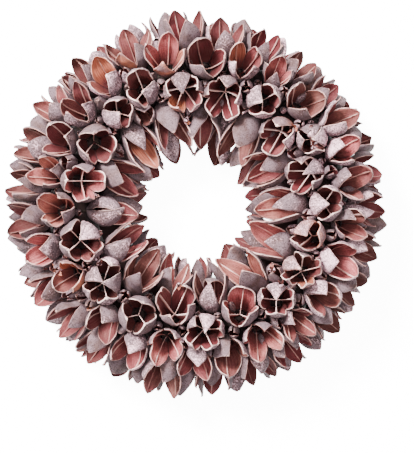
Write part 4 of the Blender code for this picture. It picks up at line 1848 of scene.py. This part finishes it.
@dataclass
class StrawRing:
    """The ring base: a bundle of near-black straw, flat at the back, bound with thread."""

    centre: Vector
    around_steps: int = 72
    along_steps: int = 220
    relief: float = 0.9 * MM
    thread_turns: int = 62
    thread_radius: float = 0.65 * MM
    thread_steps: int = 18
    thread_sides: int = 8
    bedding: float = 0.6
    stalks: float = 7
    drift: float = 1.2
    weld: float = 0.001 * MM

    def ring_position(self, t: GeometryTree, clock: Any, turn: Any, radius: Any) -> Socket:
        """Finds a point on or near the ring base.

        Args:
            t: The tree under way.
            clock: The clock angle.
            turn: The turn round the ring's section.
            radius: The distance from the section's middle.

        Returns:
            The point.
        """
        g = t.graph
        distance = RING.radius + radius * g.math("SINE", turn)
        height = g.math("MAXIMUM", RING.back + radius * g.math("COSINE", turn), 0.0)
        x = distance * g.math("SINE", clock) + self.centre.x
        y = distance * g.math("COSINE", clock) + self.centre.y
        return g.combine(x, y, height)

    def straw_tree(self) -> GeometryTree:
        """Bends a sheet into the ring and raises its stalks.

        Returns:
            The tree.
        """
        t = GeometryTree("straw")
        t.add_input("Stalk Relief", "Float", self.relief)
        t.add_input("Finish", "Material")
        g = t.graph
        counts = {"Vertices X": self.around_steps + 1, "Vertices Y": self.along_steps + 1}
        sheet = g.out(g.node("GeometryNodeMeshGrid", None, {**counts, "Size X": 1.0, "Size Y": 1.0}), "Mesh")
        x, y, _ = g.split(g.out(g.node("GeometryNodeInputPosition")))
        sheet = t.store(sheet, {"around": x + 0.5, "along": y + 0.5})
        around, along = t.attribute("around"), t.attribute("along")
        clock, turn = along * math.tau, around * math.tau
        across = [g.math(operation, turn) * self.stalks for operation in ("SINE", "COSINE")]
        drift = [g.math(operation, clock) * self.drift for operation in ("SINE", "COSINE")]
        ripple = g.noise(g.combine(*across, drift[0]), 1.0, 2, drift[1])
        radius = RING.section - t.input("Stalk Relief") * ripple
        sheet = t.place(sheet, self.ring_position(t, clock, turn, radius))
        sockets = {"Geometry": sheet, "Distance": self.weld}
        merged = g.out(g.node("GeometryNodeMergeByDistance", None, sockets))
        t.close(merged, t.input("Finish"))
        return t

    def thread_tree(self) -> GeometryTree:
        """Winds a thread round and round the ring.

        Returns:
            The tree.
        """
        t = GeometryTree("thread")
        t.add_input("Turns", "Int", self.thread_turns)
        t.add_input("Thread Radius", "Float", self.thread_radius)
        t.add_input("Finish", "Material")
        g = t.graph
        steps = self.thread_turns * self.thread_steps
        kind = "GeometryNodeCurvePrimitiveCircle"
        circle = g.out(g.node(kind, None, {"Resolution": steps, "Radius": 1.0}), "Curve")
        number = g.out(g.node("GeometryNodeInputIndex"))
        clock = number * (math.tau / steps)
        radius = RING.section + t.input("Thread Radius") * self.bedding
        turn = clock * t.input("Turns")
        position = self.ring_position(t, clock, turn, radius)
        x, y, z = g.split(position)
        wound = t.place(circle, g.combine(x, y, g.math("MAXIMUM", z, t.input("Thread Radius"))))
        wound = t.store(wound, {"along": number / steps})
        sockets = {"Resolution": self.thread_sides, "Radius": t.input("Thread Radius")}
        profile = g.out(g.node(kind, None, sockets), "Curve")
        outline = t.store(profile, {"around": g.out(g.node("GeometryNodeInputIndex")) / self.thread_sides})
        tube = g.node("GeometryNodeCurveToMesh", None, {"Curve": wound, "Profile Curve": outline})
        t.close(g.out(tube), t.input("Finish"))
        return t

    def build(self) -> list[bpy.types.Object]:
        """Builds the bundle and its binding, in place of the plain ring of the CAD.

        Returns:
            The two pieces.
        """
        straw_start, thread_start = (bpy.data.meshes.new(name) for name in ("straw_start", "thread_start"))
        straw_finish, thread_finish = StrawFinish().material(), ThreadFinish().material()
        straw = self.straw_tree().grow("straw_bundle", straw_start, {"Finish": straw_finish})
        thread = self.thread_tree().grow("binding_thread", thread_start, {"Finish": thread_finish})
        for piece in (straw, thread):
            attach(piece, "root")
        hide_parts("ring_base")
        return [straw, thread]


@dataclass
class Studio:
    """A pale floor, soft light and the camera straight above the wreath. The shade rings are where the floor
    turns dark under the wreath, and offset is the camera's place in pixels of the photograph."""

    floor_size: float = 6.0
    camera_height: float = 1.13
    focus_height: float = 0.03
    pixel: float = 0.765 * MM
    frame_height: int = 453
    offset: Pair = (9.3, -22.5)
    sensor: float = 36.0
    shade_inner: Pair = (52 * MM, 62 * MM)
    shade_outer: Pair = (125 * MM, 134 * MM)
    shaded: Colour = plain(0.20, 0.11, 0.11)
    pale: Colour = (0.92, 0.92, 0.92)
    glow: float = 12.0
    roughness: float = 0.9
    daylight: float = 0.53
    clip_end: float = 20.0
    lights: tuple[tuple[str, tuple[float, float, float], float, float], ...] = (
        ("key", (-0.75, 0.8, 1.15), 0.5, 162.0),
        ("overhead", (0.15, 0.05, 1.5), 0.8, 24.0),
    )

    def build(self) -> None:
        """Builds floor, lights and camera."""
        self.floor()
        for light in self.lights:
            self.light(*light)
        self.world()
        self.camera()

    def floor(self) -> None:
        """The pale floor. Its glow stops where the wreath keeps the light off it."""
        half = self.floor_size / 2
        mesh = bpy.data.meshes.new("floor")
        corners = [(-half, -half, 0), (half, -half, 0), (half, half, 0), (-half, half, 0)]
        mesh.from_pydata(corners, [], [(0, 1, 2, 3)])
        f = Finish("pale_floor")
        f.shader.inputs["Roughness"].default_value = self.roughness
        x, y, _ = f.split(f.place())
        distance = f.math("SQRT", x * x + y * y)
        shade = f.rise(distance, *self.shade_inner) * (1 - f.rise(distance, *self.shade_outer))
        glow = f.mix(shade, (1.0, 1.0, 1.0), (0.0, 0.0, 0.0))
        f.tree.links.new(glow.port, f.shader.inputs["Emission Color"])
        ground = f.mix(shade, self.pale, self.shaded)
        f.tree.links.new(ground.port, f.shader.inputs["Base Color"])
        f.shader.inputs["Emission Strength"].default_value = self.glow
        mesh.materials.append(f.material)
        floor = bpy.data.objects.new("floor", mesh)
        bpy.context.scene.collection.objects.link(floor)
        floor.visible_diffuse = False

    def light(self, name: str, place: tuple[float, float, float], size: float, power: float) -> None:
        """Adds a soft square light that faces the wreath.

        Args:
            name: Its name.
            place: Where it stands, in metres.
            size: Its side in metres.
            power: Its power in watts.
        """
        data = bpy.data.lights.new(name, "AREA")
        data.size = size
        data.energy = power
        lamp = bpy.data.objects.new(name, data)
        lamp.location = place
        lamp.rotation_euler = (-Vector(place)).to_track_quat("-Z", "Y").to_euler()
        bpy.context.scene.collection.objects.link(lamp)

    def world(self) -> None:
        """An even pale light from all round."""
        world = bpy.data.worlds.new("studio")
        world.use_nodes = True
        inputs = world.node_tree.nodes["Background"].inputs
        inputs["Color"].default_value = (1, 1, 1, 1)
        inputs["Strength"].default_value = self.daylight
        bpy.context.scene.world = world

    def camera(self) -> None:
        """The camera straight above, with the wreath a little up and left of the frame's middle."""
        data = bpy.data.cameras.new("camera")
        reach = self.camera_height - self.focus_height
        data.sensor_width = self.sensor
        data.lens = self.sensor * reach / (self.frame_height * self.pixel)
        data.clip_end = self.clip_end
        camera = bpy.data.objects.new("camera", data)
        camera.location = (self.offset[0] * self.pixel, self.offset[1] * self.pixel, self.camera_height)
        bpy.context.scene.collection.objects.link(camera)
        bpy.context.scene.camera = camera


def main() -> None:
    """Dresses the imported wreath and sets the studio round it."""
    logging.basicConfig(level=logging.INFO, format="%(name)s: %(message)s")
    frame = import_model()
    low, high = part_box("ring_base")
    centre = Vector(((low.x + high.x) / 2, (low.y + high.y) / 2, 0))
    layout = Layout()
    grown = layout.grow()
    large = [pod for _, pod, _ in grown]
    wardrobe = Wardrobe()
    wardrobe.dress(grown)
    wardrobe.accent(large)
    for pod in large:
        layout.lower(pod)
    tree = PodTree().build()
    husk = HuskFinish().material()
    nodes = sorted(frame["nodes"])
    pieces = []
    for number, row in enumerate(ROWS):
        pods = [pod for owner, pod, _ in grown if owner is row]
        piece = PodRow(row, pods, centre, number).build(tree, husk, {})
        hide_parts(*[node for node in nodes if node.startswith(f"pods_{row.name}_")])
        pieces.append(piece)
    filler = SmallBuds(layout)
    buds = filler.grow(large)
    Wardrobe(seed=BUD_SEED).dress([(filler.row, bud, None) for bud in buds])
    flake_draw = random.Random(filler.seed)
    buds += [flake.pod(flake_draw) for flake in FLAKES]
    pieces.append(PodRow(filler.row, buds, centre, filler.seed).build(tree, husk, BUD_FINENESS))
    pieces += StrawRing(centre).build()
    for piece in pieces:
        LOG.info("%s: %d faces", piece.name, len(piece.data.polygons))
    Studio().build()


if __name__ == "__main__":
    main()
